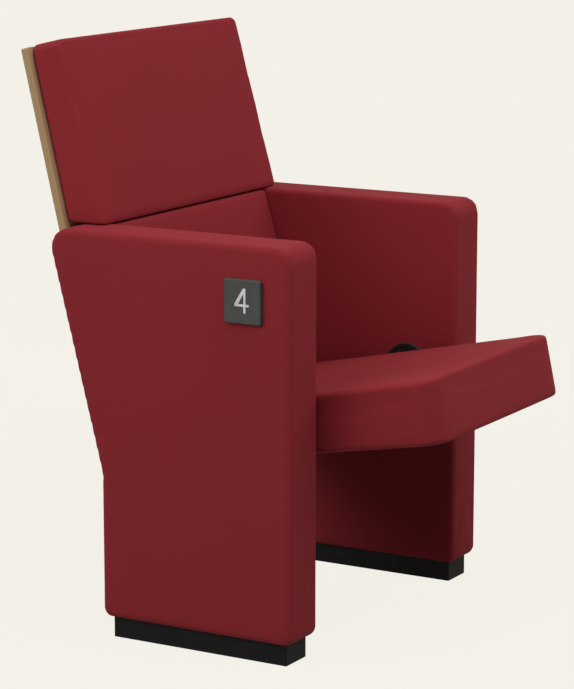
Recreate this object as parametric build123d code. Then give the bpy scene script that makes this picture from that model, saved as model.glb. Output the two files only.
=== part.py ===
from build123d import *
import math
import os

# Tip-up auditorium seat: two upholstered side panels on floor channels, a tip-up seat hung
# between them on pivot pins, and a plywood backboard with an upper and a lower back cushion.
# Millimetres. +Z is up, the seat faces -Y, and left and right are the sitter's (left is +X).
# The origin is on the floor, in the middle of the four floor anchors.

# ---------------------------------------------------------------- driving dimensions
SIDE_SPACING = 550.0            # centre to centre of the side panels
ARM_HEIGHT = 650.0
SIDE_THICKNESS = 85.0
SIDE_BASE_DEPTH = 340.0         # front to back at the floor
ARM_DEPTH = 440.0               # front to back at the arm's top
KNEE_HEIGHT = 265.0             # where the rear edge starts to lean back
ARM_FRONT_RADIUS = 25.0
ARM_REAR_RADIUS = 34.0
BASE_CORNER_RADIUS = 13.0
KNEE_RADIUS = 40.0
SIDE_EDGE_RADIUS = 8.0

PAST = 1.0                      # how far a cutting shape runs past the face it cuts
LEAST_RADIUS = 0.5              # the smallest rounding inside a shell
FABRIC = 1.5                    # cover thickness, everywhere
SIDE_FOAM = 12.0
PANEL_BOARD = 9.0
FRAME_SHEET = 3.0
FRAME_FLANGE = 24.0

PLINTH_HEIGHT = 35.0
PLINTH_INSET = 12.0
PLINTH_WALL = 3.0
PLINTH_BASE = 5.0
PLINTH_CORNER = 2.0
ANCHOR_SPACING = 220.0          # front to back, in each floor channel
ANCHOR_HOLE_RADIUS = 5.5
FOOT_SPACING = 110.0            # the frame's two feet, front to back
FOOT_LENGTH = 50.0
FOOT_WALL = 4.0
FOOT_CLEARANCE = 0.5
FOOT_SCREW_RADIUS = 3.0
FOOT_SCREW_HEAD_RADIUS = 5.2
FOOT_SCREW_HEAD = 2.6
FOOT_SCREW_LENGTH = 16.0
FOOT_SCREW_HEIGHT = 20.0

PIVOT_FROM_FRONT = 88.0         # behind the front of the side panels
PIVOT_HEIGHT = 369.0
PIN_RADIUS = 10.0
PIN_THREAD_RADIUS = 7.0
BUSH_WALL = 3.0
RUNNING_CLEARANCE = 0.05        # radial, pin in bush
SEAT_CLEARANCE = 0.3            # between faces that only lie against each other
HOUSING_FLANGE_RADIUS = 39.0
HOUSING_FLANGE = 4.8
HOUSING_CUP_RADIUS = 30.0
HOUSING_DISH = 2.2
HOUSING_RIM = 5.0
HOUSING_EDGE_RADIUS = 1.2
HOUSING_HUB_RADIUS = 17.0
HOUSING_SCREW_RADIUS = 2.5
HOUSING_SCREW_HEAD_RADIUS = 4.4
HOUSING_SCREW_HEAD = 2.6
HOUSING_SCREW_CIRCLE = 23.5
HOUSING_SCREWS = 3
HINGE_PLATE = 6.0
HINGE_PLATE_HEIGHT = 150.0

SPRING_WIRE = 3.5
SPRING_RADIUS = 15.0            # mean
SPRING_TURNS = 4
SPRING_PITCH = 3.9
SPRING_LEG = 24.0
SPRING_SIDE_CLEARANCE = 1.3     # each end of the coil, whose legs lean outwards, to its neighbour
SPRING_PEG_RADIUS = 3.5
LEVER_THICKNESS = 6.0
LEVER_REACH = 44.0
LEVER_HALF_WIDTH = 8.0
PIN_NUT = 5.0
PIN_NUT_RADIUS = 11.0
BUFFER_THICKNESS = 6.0
BUFFER_INNER_REACH = 24.0
STOP_POST_THICKNESS = 8.0
LEVER_REST_ANGLE = -55.0        # in the side view, from +Y towards +Z
TIP_UP_ANGLE = 70.0

SEAT_WIDTH = 440.0
SEAT_DEPTH = 450.0
SEAT_TILT = 12.0                # the front is up by this angle when the seat is down
SEAT_FRONT_REACH = 286.5        # from the pivot to the seat's front face
SEAT_TOP_ABOVE_PIVOT = 28.0
SEAT_FRONT_THICKNESS = 103.0
SEAT_REAR_THICKNESS = 87.0
SEAT_FRONT_CORNER = 36.0
SEAT_REAR_CORNER = 25.0
SEAT_TOP_EDGE_RADIUS = 10.0
SEAT_BOTTOM_EDGE_RADIUS = 8.0
SEAT_CROWN = 3.0
SEAT_FRONT_BOW = 3.0
SEAT_FOAM_TOP = 40.0
SEAT_FOAM_SIDE = 10.5
SEAT_FOAM_FRONT = 14.0
SEAT_BOARD = 12.0
SEAT_PLATE = 5.0                # the seat frame's side plates
SEAT_PLATE_HEIGHT = 38.0
SEAT_PLATE_FRONT_MARGIN = 52.0  # from the seat's front; half of it from the rear
SEAT_CHANNEL = 25.0             # the seat frame's cross channels
SEAT_CHANNEL_WALL = 3.0
HINGE_TUBE_RADIUS = 14.5
HINGE_TUBE_LENGTH = 27.0
LOCK_PIN_RADIUS = 2.5
LOCK_PIN_SHORT = 1.0            # each end of the lock pin lies this far inside the tube's wall
COVER_HOLE_MARGIN = 1.2         # hole in the cover round the pivot pin, wider than the pin
UNDERSIDE_MARGIN = 22.0
UNDERSIDE_BOARD = 6.0
UNDERSIDE_CLEARANCE = 0.6
UNDERSIDE_CORNER = 24.0
CLIP_RADIUS = 4.0
CLIP_SPREAD = 0.6               # the clips' place across the seat, as a share of the screws'
SEAT_SCREW_RADIUS = 2.5
SEAT_SCREW_HEAD_RADIUS = 4.8
SEAT_SCREW_HEAD = 2.4
SEAT_SCREW_SPREAD = 0.55        # the screws' place across the seat, as a share of its half width
SEAT_SCREW_PAST = 2.0           # how far the screws come through the channels

BACK_WIDTH = 550.0
BACK_RECLINE = 13.5
BACK_FROM_FRONT = 432.0         # the board's front face at arm height, behind the panels' front
BACKBOARD = 13.0
BACKBOARD_RISE = 282.0          # along the board, above arm height
BACKBOARD_DROP = 400.0          # along the board, below arm height
BACKBOARD_CORNER = 3.0
BACKBOARD_SHOULDER = 17.5       # below arm height, where the board narrows to pass between the panels
SIDE_GAP = 1.0                  # board and lower cushion to the panels' inner faces

UPPER_WIDTH = 530.0
UPPER_RISE = 284.5              # along the board, above arm height
UPPER_BOTTOM_THICKNESS = 68.0
UPPER_TOP_THICKNESS = 56.0
CUSHION_GAP = 1.5               # each cushion's end to the level of the arms
CUSHION_RADIUS = 8.0             # round the front and at the corners
CUSHION_REAR_RADIUS = 4.0
CUSHION_CROWN = 3.0
LOWER_DROP = 312.0              # along the board, below arm height
LOWER_TOP_THICKNESS = 67.0
LOWER_BOTTOM_THICKNESS = 82.0
BACKING = 9.0                   # ply backing inside each cushion
BACKING_MARGIN = 14.0
CUSHION_SCREW_RADIUS = 3.0
CUSHION_SCREW_HEAD_RADIUS = 6.5
CUSHION_SCREW_HEAD = 2.8
CUSHION_NUT_RADIUS = 4.5
CUSHION_SCREW_MARGIN = 55.0     # from each cushion's ends
UPPER_SCREW_X = 180.0
LOWER_SCREW_X = 130.0

BRACKET_SHEET = 4.0
BRACKET_HEIGHT = 150.0
BRACKET_LEG = 36.0
BRACKET_TOP = -70.0             # along the board, from arm height to the bracket's top
BRACKET_BOLT_RADIUS = 4.0
BRACKET_BOLT_HEAD_RADIUS = 8.0
BRACKET_BOLT_HEAD = 4.0
BRACKET_NUT_RADIUS = 7.5
BRACKET_NUT = 6.0
BRACKET_BOLT_SPACING = 100.0
BOSS_RADIUS = 9.0               # threaded bosses of the side frame that the brackets bolt to
BOSS_PAD = 6.0                  # how far the plate they stand on reaches past them

PLATE_WIDTH = 64.0
PLATE_HEIGHT = 68.0
PLATE_THICKNESS = 8.0
PLATE_CORNER = 4.0
PLATE_BEVEL = 1.6
PLATE_FROM_FRONT = 78.0
PLATE_BELOW_ARM = 85.0
PLATE_WALL = 3.0
PLATE_BASE = 3.0
PLATE_SCREW_RADIUS = 1.75
PLATE_SCREW_HEAD_RADIUS = 3.4
PLATE_SCREW_HEAD = 1.8
PLATE_SCREW_SPACING = 30.0
PLATE_SCREW_LENGTH = 22.0
NUMERAL_HEIGHT = 38.0
NUMERAL_WIDTH = 25.0
NUMERAL_STROKE = 3.6
NUMERAL_PROUD = 0.4
NUMERAL_RISE = 2.0              # above the plate's middle
NUMERAL_BAR_HEIGHT = 12.0
NUMERAL_STEM_PLACE = 0.4        # the stem's place, as a share of the figure's half width

# ---------------------------------------------------------------- places worked out
SIDE_X = SIDE_SPACING / 2
INNER_X = SIDE_X - SIDE_THICKNESS / 2
OUTER_X = SIDE_X + SIDE_THICKNESS / 2
FRONT_Y = -SIDE_BASE_DEPTH / 2
CORE_INSET = FABRIC + SIDE_FOAM
FRAME_WIDTH = SIDE_THICKNESS - 2 * (CORE_INSET + PANEL_BOARD)
FRAME_INNER_X = SIDE_X - FRAME_WIDTH / 2
FRAME_OUTER_X = SIDE_X + FRAME_WIDTH / 2
PLINTH_WIDTH = SIDE_THICKNESS - 2 * PLINTH_INSET
FOOT_WIDTH = PLINTH_WIDTH - 2 * (PLINTH_WALL + FOOT_CLEARANCE)
CORE_BOTTOM = PLINTH_HEIGHT + CORE_INSET
PIVOT = Pos(0, FRONT_Y + PIVOT_FROM_FRONT, PIVOT_HEIGHT)
SEAT_PLACE = PIVOT * Rot(-SEAT_TILT, 0, 0)
BUSH_RADIUS = PIN_RADIUS + RUNNING_CLEARANCE + BUSH_WALL
SEAT_SIDE_X = SEAT_WIDTH / 2
SEAT_PLATE_X = SEAT_SIDE_X - FABRIC - SEAT_FOAM_SIDE
PIN_HOLE_RADIUS = PIN_RADIUS + COVER_HOLE_MARGIN
HINGE_PLATE_OUTER_X = FRAME_INNER_X + HINGE_PLATE
SPRING_START_X = HINGE_PLATE_OUTER_X + SPRING_WIRE / 2 + SPRING_SIDE_CLEARANCE
LEVER_X = SPRING_START_X + SPRING_TURNS * SPRING_PITCH + SPRING_WIRE / 2 + SPRING_SIDE_CLEARANCE
BOARD_TOP_W = SEAT_TOP_ABOVE_PIVOT - FABRIC - SEAT_FOAM_TOP
SEAT_REAR_REACH = SEAT_DEPTH - SEAT_FRONT_REACH
SEAT_DEEP = 2 * SEAT_FRONT_THICKNESS            # clear above and below the seat, for cutting shapes
BACK = Plane(
    origin=(0, FRONT_Y + BACK_FROM_FRONT, ARM_HEIGHT),
    x_dir=(1, 0, 0),
    z_dir=(0, -math.cos(math.radians(BACK_RECLINE)), math.sin(math.radians(BACK_RECLINE))),
)
NARROW_HALF = INNER_X - SIDE_GAP
BACKING_REAR = SEAT_CLEARANCE + FABRIC
parts = {}


def add(name, shape):
    """Keep a finished piece under its node name."""
    parts[name] = shape


def add_pair(name, shape):
    """Keep a piece of the left side, and its mirror image for the right side."""
    parts["left_" + name] = shape
    parts["right_" + name] = mirror(shape, about=Plane.YZ)


def rod(radius, x_from, x_to):
    """A cylinder along X between two planes."""
    length = abs(x_to - x_from)
    return Pos((x_from + x_to) / 2, 0, 0) * Rot(0, 90, 0) * Cylinder(radius, length)


def ring(outer, inner, x_from, x_to):
    """A tube along X between two planes."""
    return rod(outer, x_from, x_to) - rod(inner, x_from - PAST, x_to + PAST)


def box_between(x, y, z):
    """A box given by its low and high bounds on each axis."""
    size = [high - low for low, high in (x, y, z)]
    middle = [(low + high) / 2 for low, high in (x, y, z)]
    return Pos(*middle) * Box(*size)


def inset_polygon(points, inset):
    """The corners of a polygon whose every edge has moved inwards by inset."""
    count = len(points)
    lines = []
    for i in range(count):
        (ax, ay), (bx, by) = points[i], points[(i + 1) % count]
        length = math.hypot(bx - ax, by - ay)
        nx, ny = -(by - ay) / length, (bx - ax) / length
        lines.append((nx, ny, nx * ax + ny * ay + inset))
    corners = []
    for i in range(count):
        a, b, c = lines[i - 1]
        d, e, f = lines[i]
        det = a * e - b * d
        corners.append(((c * e - b * f) / det, (a * f - c * d) / det))
    return corners


# ---------------------------------------------------------------- side panel
def side_outline(inset):
    """The side panel's outline in the side view (Y, Z), moved inwards by inset."""
    rear = FRONT_Y + SIDE_BASE_DEPTH
    corners = [
        (FRONT_Y, PLINTH_HEIGHT),
        (rear, PLINTH_HEIGHT),
        (rear, KNEE_HEIGHT),
        (FRONT_Y + ARM_DEPTH, ARM_HEIGHT),
        (FRONT_Y, ARM_HEIGHT),
    ]
    radii = [BASE_CORNER_RADIUS, BASE_CORNER_RADIUS, -KNEE_RADIUS, ARM_REAR_RADIUS, ARM_FRONT_RADIUS]
    rounding = [max(abs(r - inset), LEAST_RADIUS) if r < 0 or r > inset else 0 for r in radii]
    path = FilletPolyline(*inset_polygon(corners, inset), radius=rounding, close=True)
    return Plane.YZ * make_face(path)


def side_slab(inset, x_from, x_to):
    """A slab with the side panel's outline between two planes of X."""
    return Pos((x_from + x_to) / 2, 0, 0) * extrude(side_outline(inset), (x_to - x_from) / 2, both=True)


def side_form(inset):
    """The padded panel's rounded form, moved inwards by inset."""
    slab = side_slab(inset, INNER_X + inset, OUTER_X - inset)
    faces = slab.faces().sort_by(Axis.X)
    edges = faces[0].edges() + faces[-1].edges()
    return fillet(edges, SIDE_EDGE_RADIUS - inset)


def foot_positions():
    """The frame's feet, front to back."""
    return (-FOOT_SPACING / 2, FOOT_SPACING / 2)


def foot_openings(top):
    """The space the frame's feet take where they come out of the panel's bottom."""
    half_x = FOOT_WIDTH / 2 + FOOT_CLEARANCE
    half_y = FOOT_LENGTH / 2 + FOOT_CLEARANCE
    return [
        box_between((SIDE_X - half_x, SIDE_X + half_x), (y - half_y, y + half_y), (PLINTH_HEIGHT - PAST, top))
        for y in foot_positions()
    ]


def boss_points():
    """Where the back bracket bolts to the side frame, as (Y, Z)."""
    points = []
    for sign in (-1, 1):
        along = BRACKET_TOP - BRACKET_HEIGHT / 2 + sign * BRACKET_BOLT_SPACING / 2
        point = BACK.from_local_coords((0, along, BRACKET_LEG / 2 + BRACKET_SHEET))
        points.append((point.Y, point.Z))
    return points


def at(y, z, shape):
    """Move a shape drawn round the X axis to a place in the side view."""
    return Pos(0, y, z) * shape


def panel_holes(radius_margin, x_from, x_to):
    """Holes through the panel's inner layers for the hinge housing and the frame's bosses."""
    holes = [PIVOT * rod(HOUSING_CUP_RADIUS + radius_margin, x_from, x_to)]
    for y, z in boss_points():
        holes.append(at(y, z, rod(BOSS_RADIUS + radius_margin, x_from, x_to)))
    return holes


def side_cover():
    cover = side_form(0) - side_form(FABRIC)
    cover -= foot_openings(PLINTH_HEIGHT + FABRIC + PAST)
    return cover - panel_holes(SEAT_CLEARANCE, INNER_X - PAST, INNER_X + FABRIC + PAST)


def side_foam():
    """The foam round the panel's core, in two pieces that meet level with the knee."""
    core = side_slab(CORE_INSET, INNER_X + CORE_INSET, OUTER_X - CORE_INSET)
    foam = side_form(FABRIC) - core
    foam -= foot_openings(CORE_BOTTOM + PAST)
    foam -= panel_holes(SEAT_CLEARANCE, INNER_X, INNER_X + CORE_INSET + PAST)
    across, along = (INNER_X, OUTER_X), (FRONT_Y, FRONT_Y + ARM_DEPTH)
    below = foam & box_between(across, along, (0, KNEE_HEIGHT))
    above = foam & box_between(across, along, (KNEE_HEIGHT, ARM_HEIGHT))
    return Compound([below, above])


def inner_board():
    board = side_slab(CORE_INSET, INNER_X + CORE_INSET, FRAME_INNER_X)
    return board - panel_holes(SEAT_CLEARANCE, INNER_X, FRAME_INNER_X + PAST)


def outer_board():
    return side_slab(CORE_INSET, FRAME_OUTER_X, OUTER_X - CORE_INSET)


def direction(angle):
    """A unit vector in the side view, from +Y towards +Z."""
    return math.cos(math.radians(angle)), math.sin(math.radians(angle))


def arm_block(angle, near, far, side_from, side_to, x_from, x_to):
    """A block along an arm of the hinge: near and far along it, side_from to side_to across it."""
    block = box_between((x_from, x_to), (near, far), (side_from, side_to))
    return PIVOT * Rot(angle, 0, 0) * block


def stop_sides():
    """The two stops: the lever's angle when it meets the stop, and the side it comes from."""
    return ((LEVER_REST_ANGLE, 1), (LEVER_REST_ANGLE - TIP_UP_ANGLE, -1))


def stop_band(sign, near, far):
    """Bounds across the lever's arm from near to far outside its edge."""
    low, high = sorted((sign * (LEVER_HALF_WIDTH + near), sign * (LEVER_HALF_WIDTH + far)))
    return low, high


def stop_posts():
    posts = []
    for angle, sign in stop_sides():
        low, high = stop_band(
            sign, SEAT_CLEARANCE + BUFFER_THICKNESS, SEAT_CLEARANCE + BUFFER_THICKNESS + STOP_POST_THICKNESS
        )
        posts.append(
            arm_block(
                angle, BUFFER_INNER_REACH, LEVER_REACH, low, high,
                HINGE_PLATE_OUTER_X - PAST, LEVER_X + LEVER_THICKNESS
            )
        )
    return posts


def stop_buffers():
    buffers = []
    for angle, sign in stop_sides():
        low, high = stop_band(sign, SEAT_CLEARANCE, SEAT_CLEARANCE + BUFFER_THICKNESS)
        buffers.append(
            arm_block(
                angle, BUFFER_INNER_REACH, LEVER_REACH, low, high,
                LEVER_X - PAST, LEVER_X + LEVER_THICKNESS
            )
        )
    return Compound(buffers)


def spring_peg(x_from, x_to, side):
    """A round peg over one of the spring's legs, on the rear side (1) or the front side (-1)."""
    reach = SPRING_LEG - SPRING_PEG_RADIUS
    rise = SPRING_RADIUS + SPRING_WIRE / 2 + SPRING_PEG_RADIUS + SEAT_CLEARANCE
    return PIVOT * at(side * reach, rise, rod(SPRING_PEG_RADIUS, x_from, x_to))


def side_frame():
    frame = side_slab(CORE_INSET, FRAME_INNER_X, FRAME_OUTER_X)
    frame -= side_slab(CORE_INSET + FRAME_SHEET, FRAME_INNER_X + FRAME_SHEET, FRAME_OUTER_X - FRAME_SHEET)
    frame -= side_slab(CORE_INSET + FRAME_FLANGE, FRAME_INNER_X - PAST, FRAME_OUTER_X + PAST)
    hinge_band = box_between(
        (FRAME_INNER_X, HINGE_PLATE_OUTER_X),
        (FRONT_Y, FRONT_Y + ARM_DEPTH),
        (PIVOT_HEIGHT - HINGE_PLATE_HEIGHT / 2, PIVOT_HEIGHT + HINGE_PLATE_HEIGHT / 2),
    )
    plate = side_slab(CORE_INSET, FRAME_INNER_X, HINGE_PLATE_OUTER_X) & hinge_band
    frame += plate
    frame += stop_posts()
    frame += spring_peg(HINGE_PLATE_OUTER_X - PAST, SPRING_START_X + SPRING_WIRE, 1)
    for y in foot_positions():
        foot = box_between(
            (SIDE_X - FOOT_WIDTH / 2, SIDE_X + FOOT_WIDTH / 2),
            (y - FOOT_LENGTH / 2, y + FOOT_LENGTH / 2),
            (PLINTH_BASE + SEAT_CLEARANCE, CORE_BOTTOM),
        )
        hollow = box_between(
            (SIDE_X - FOOT_WIDTH / 2 + FOOT_WALL, SIDE_X + FOOT_WIDTH / 2 - FOOT_WALL),
            (y - FOOT_LENGTH / 2 - PAST, y + FOOT_LENGTH / 2 + PAST),
            (PLINTH_BASE + SEAT_CLEARANCE + FOOT_WALL, CORE_BOTTOM - FOOT_WALL),
        )
        frame += foot - hollow
        frame -= at(y, FOOT_SCREW_HEIGHT, rod(FOOT_SCREW_RADIUS, SIDE_X - FOOT_WIDTH, SIDE_X))
    for y, z in boss_points():
        frame += at(y, z, rod(BOSS_RADIUS, INNER_X, FRAME_INNER_X + FRAME_SHEET))
        pad = at(y, z, rod(BOSS_RADIUS + BOSS_PAD, FRAME_INNER_X, FRAME_INNER_X + FRAME_SHEET))
        frame += pad & side_slab(CORE_INSET, FRAME_INNER_X, FRAME_OUTER_X)
        frame -= at(y, z, rod(BRACKET_BOLT_RADIUS, INNER_X - PAST, FRAME_INNER_X + FRAME_SHEET + PAST))
    frame -= PIVOT * rod(BUSH_RADIUS, FRAME_INNER_X - PAST, HINGE_PLATE_OUTER_X + PAST)
    for angle in housing_screw_angles():
        frame -= PIVOT * housing_screw_hole(angle)
    return frame


# ---------------------------------------------------------------- floor channel
def floor_channel():
    length = SIDE_BASE_DEPTH - 2 * PLINTH_INSET
    outer = Pos(SIDE_X, 0, PLINTH_HEIGHT / 2) * Box(PLINTH_WIDTH, length, PLINTH_HEIGHT)
    outer = fillet(outer.edges().filter_by(Axis.Z), PLINTH_CORNER)
    hollow = box_between(
        (SIDE_X - PLINTH_WIDTH / 2 + PLINTH_WALL, SIDE_X + PLINTH_WIDTH / 2 - PLINTH_WALL),
        (-length / 2 + PLINTH_WALL, length / 2 - PLINTH_WALL),
        (PLINTH_BASE, PLINTH_HEIGHT + PAST),
    )
    channel = outer - hollow
    for y in (-ANCHOR_SPACING / 2, ANCHOR_SPACING / 2):
        channel -= Pos(SIDE_X, y, PLINTH_BASE / 2) * Cylinder(ANCHOR_HOLE_RADIUS, PLINTH_BASE + 2 * PAST)
    for y in foot_positions():
        channel -= at(y, FOOT_SCREW_HEIGHT, foot_screw_form(0.0))
    return channel


def foot_screw_form(recess):
    """A countersunk screw along X, its head flush with the channel's inner side.

    A recess of 0 gives the space the screw takes.
    """
    face = SIDE_X - PLINTH_WIDTH / 2
    shank = rod(FOOT_SCREW_RADIUS, face + FOOT_SCREW_HEAD, face + FOOT_SCREW_LENGTH)
    head = Pos(face + FOOT_SCREW_HEAD / 2, 0, 0) * Rot(0, 90, 0) * Cone(
        FOOT_SCREW_HEAD_RADIUS, FOOT_SCREW_RADIUS, FOOT_SCREW_HEAD
    )
    screw = head + shank
    if recess:
        screw -= rod(recess, face - PAST, face + FOOT_SCREW_HEAD / 2)
    return screw


def foot_screws():
    screw = foot_screw_form(FOOT_SCREW_RADIUS / 2)
    return Compound([at(y, FOOT_SCREW_HEIGHT, screw) for y in foot_positions()])


# ---------------------------------------------------------------- hinge
def housing_screw_angles():
    return [90 + i * 360 / HOUSING_SCREWS for i in range(HOUSING_SCREWS)]


def housing_face_x():
    return INNER_X - HOUSING_FLANGE


def housing_screw_hole(angle):
    """The clearance one housing screw takes, head and shank."""
    y, z = direction(angle)
    head_x = housing_face_x() + HOUSING_DISH
    head = rod(HOUSING_SCREW_HEAD_RADIUS, head_x, head_x + HOUSING_SCREW_HEAD)
    shank = rod(HOUSING_SCREW_RADIUS, head_x, HINGE_PLATE_OUTER_X)
    return at(y * HOUSING_SCREW_CIRCLE, z * HOUSING_SCREW_CIRCLE, head + shank)


def hinge_housing():
    face_x = housing_face_x()
    flange = rod(HOUSING_FLANGE_RADIUS, face_x, INNER_X)
    flange = fillet(flange.edges().sort_by(Axis.X)[0], HOUSING_EDGE_RADIUS)
    dish = ring(HOUSING_FLANGE_RADIUS - HOUSING_RIM, HOUSING_HUB_RADIUS, face_x - PAST, face_x + HOUSING_DISH)
    cup = rod(HOUSING_CUP_RADIUS, INNER_X, FRAME_INNER_X)
    housing = flange - dish + cup
    housing -= rod(BUSH_RADIUS, face_x - PAST, FRAME_INNER_X + PAST)
    for angle in housing_screw_angles():
        housing -= housing_screw_hole(angle)
    return PIVOT * housing


def housing_screws():
    screws = []
    for angle in housing_screw_angles():
        y, z = direction(angle)
        recess_x = housing_face_x() + HOUSING_DISH
        recess = rod(HOUSING_SCREW_RADIUS / 2, recess_x - PAST, recess_x + HOUSING_SCREW_HEAD / 2)
        recess = at(y * HOUSING_SCREW_CIRCLE, z * HOUSING_SCREW_CIRCLE, recess)
        screws.append(PIVOT * (housing_screw_hole(angle) - recess))
    return Compound(screws)


def pivot_bush():
    bore = PIN_RADIUS + RUNNING_CLEARANCE
    return PIVOT * ring(BUSH_RADIUS, bore, housing_face_x(), HINGE_PLATE_OUTER_X)


def pin_inner_x():
    """The end of the pivot pin inside the seat."""
    return SEAT_PLATE_X - SEAT_PLATE - HINGE_TUBE_LENGTH


def lock_pin_x():
    return pin_inner_x() + HINGE_TUBE_LENGTH / 2


def pivot_pin():
    pin = rod(PIN_RADIUS, pin_inner_x(), LEVER_X)
    pin += rod(PIN_THREAD_RADIUS, LEVER_X, LEVER_X + LEVER_THICKNESS + PIN_NUT)
    lock = Pos(lock_pin_x(), 0, 0) * Cylinder(LOCK_PIN_RADIUS, 4 * PIN_RADIUS)
    return SEAT_PLACE * (pin - lock)


def lock_pin():
    length = 2 * (HINGE_TUBE_RADIUS - LOCK_PIN_SHORT)
    return SEAT_PLACE * Pos(lock_pin_x(), 0, 0) * Cylinder(LOCK_PIN_RADIUS, length)


def stop_lever():
    hub = rod(HOUSING_HUB_RADIUS, LEVER_X, LEVER_X + LEVER_THICKNESS)
    arm = box_between(
        (LEVER_X, LEVER_X + LEVER_THICKNESS), (0, LEVER_REACH), (-LEVER_HALF_WIDTH, LEVER_HALF_WIDTH)
    )
    lever = PIVOT * Rot(LEVER_REST_ANGLE, 0, 0) * (hub + arm)
    ear_reach = math.hypot(SPRING_LEG, SPRING_RADIUS) + 2 * SPRING_PEG_RADIUS
    ear_half = 2 * SPRING_PEG_RADIUS
    ear_angle = 180 - math.degrees(math.atan2(SPRING_RADIUS + SPRING_WIRE, SPRING_LEG))
    ear = box_between((LEVER_X, LEVER_X + LEVER_THICKNESS), (0, ear_reach), (-ear_half, ear_half))
    lever += PIVOT * Rot(ear_angle, 0, 0) * ear
    lever += spring_peg(LEVER_X - 2 * SPRING_WIRE, LEVER_X + PAST, -1)
    return lever - PIVOT * rod(PIN_THREAD_RADIUS, LEVER_X - PAST, LEVER_X + LEVER_THICKNESS + PAST)


def pin_nut():
    hexagon = Plane.YZ * RegularPolygon(PIN_NUT_RADIUS, 6)
    start = LEVER_X + LEVER_THICKNESS
    nut = Pos(start, 0, 0) * extrude(hexagon, PIN_NUT)
    return PIVOT * (nut - rod(PIN_THREAD_RADIUS, start - PAST, start + PIN_NUT + PAST))


def return_spring():
    """A torsion spring round the pin: a straight leg at each end of its coil."""
    height = SPRING_TURNS * SPRING_PITCH
    coil_line = Helix(SPRING_PITCH, height, SPRING_RADIUS)
    start = coil_line @ 0
    profile = Plane(origin=start, z_dir=coil_line % 0) * Circle(SPRING_WIRE / 2)
    coil = sweep(profile, path=coil_line)
    legs = []
    for end, sign in ((0, -1), (1, 1)):
        plane = Plane(origin=coil_line @ end, z_dir=(coil_line % end) * sign)
        legs.append(plane * Pos(0, 0, SPRING_LEG / 2) * Cylinder(SPRING_WIRE / 2, SPRING_LEG))
    coil += legs
    turned = Rot(180, 0, 0) * Pos(SPRING_START_X, 0, 0) * Rot(0, 90, 0) * coil
    return PIVOT * turned


# ---------------------------------------------------------------- seat, drawn level about the pivot
def seat_bottom(y):
    """The height of the seat's underside, below the pivot, at a distance behind it."""
    share = (y + SEAT_FRONT_REACH) / SEAT_DEPTH
    thickness = SEAT_FRONT_THICKNESS + share * (SEAT_REAR_THICKNESS - SEAT_FRONT_THICKNESS)
    return SEAT_TOP_ABOVE_PIVOT - thickness


def seat_side_profile(inset):
    """The seat's side view (Y, Z), moved inwards by inset."""
    front, rear = -SEAT_FRONT_REACH + inset, SEAT_REAR_REACH - inset
    top = SEAT_TOP_ABOVE_PIVOT - inset
    corners = [
        (front, seat_bottom(-SEAT_FRONT_REACH) + inset),
        (rear, seat_bottom(SEAT_REAR_REACH) + inset),
        (rear, top),
        (front, top),
    ]
    return Plane.YZ * make_face(Polyline(*corners, close=True))


def seat_plan(inset, front_radius, rear_radius, bow):
    """The seat's plan (X, Y), moved inwards by inset, its front bowed out."""
    half = SEAT_SIDE_X - inset
    front, rear = -SEAT_FRONT_REACH + inset, SEAT_REAR_REACH - inset
    outline = Polyline((half, front + bow), (half, rear), (-half, rear), (-half, front + bow))
    nose = ThreePointArc((-half, front + bow), (0, front), (half, front + bow))
    face = make_face(outline + nose)
    corners = face.vertices().sort_by(Axis.Y)
    face = fillet(corners[-2:], rear_radius)
    corners = [v for v in face.vertices() if abs(abs(v.X) - half) < 0.01 and v.Y < 0]
    return fillet(corners, front_radius)


def seat_crown(inset):
    """The crowned top across the seat, as a solid under the crown."""
    half = SEAT_WIDTH
    top = SEAT_TOP_ABOVE_PIVOT - inset
    drop = SEAT_CROWN * (half / SEAT_SIDE_X) ** 2
    arc = ThreePointArc((-half, top - drop), (0, top), (half, top - drop))
    floor = Polyline((half, top - drop), (half, -SEAT_DEEP), (-half, -SEAT_DEEP), (-half, top - drop))
    return extrude(Plane.XZ * make_face(arc + floor), SEAT_DEPTH, both=True)


def seat_form(inset):
    """The seat's rounded upholstered form, moved inwards by inset."""
    plan = seat_plan(inset, SEAT_FRONT_CORNER - inset, SEAT_REAR_CORNER - inset, SEAT_FRONT_BOW)
    body = extrude(plan, SEAT_DEEP, both=True)
    profile = extrude(seat_side_profile(inset), SEAT_WIDTH, both=True)
    body = body & profile & seat_crown(inset)
    faces = body.faces().sort_by(Axis.Z)
    body = fillet(faces[-1].edges(), SEAT_TOP_EDGE_RADIUS - inset)
    faces = body.faces().sort_by(Axis.Z)
    return fillet(faces[0].edges(), SEAT_BOTTOM_EDGE_RADIUS - inset)


def seat_core(margin, z_from, z_to):
    """A prism in the space the foam's walls leave, smaller by margin."""
    half = SEAT_PLATE_X + SEAT_CLEARANCE - margin
    front = -SEAT_FRONT_REACH + FABRIC + SEAT_FOAM_FRONT + margin
    rear = SEAT_REAR_REACH - FABRIC - SEAT_FOAM_SIDE - margin
    block = box_between((-half, half), (front, rear), (z_from, z_to))
    vertical = block.edges().filter_by(Axis.Z).sort_by(Axis.Y)
    front_radius = SEAT_FRONT_CORNER - FABRIC - SEAT_FOAM_SIDE - margin
    rear_radius = SEAT_REAR_CORNER - FABRIC - SEAT_FOAM_SIDE - margin
    block = fillet(vertical[:2], front_radius)
    vertical = block.edges().filter_by(Axis.Z).sort_by(Axis.Y)
    return fillet(vertical[-2:], rear_radius)


def hinge_pocket(margin):
    """The space round one hinge tube and the side plate's ear, above the seat board."""
    inner = pin_inner_x() - margin
    outer = SEAT_PLATE_X + margin
    radius = HINGE_TUBE_RADIUS + margin
    pocket = rod(radius, inner, outer)
    pocket += box_between((inner, outer), (-radius, radius), (BOARD_TOP_W - SEAT_BOARD - PAST, 0))
    return pocket


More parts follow.
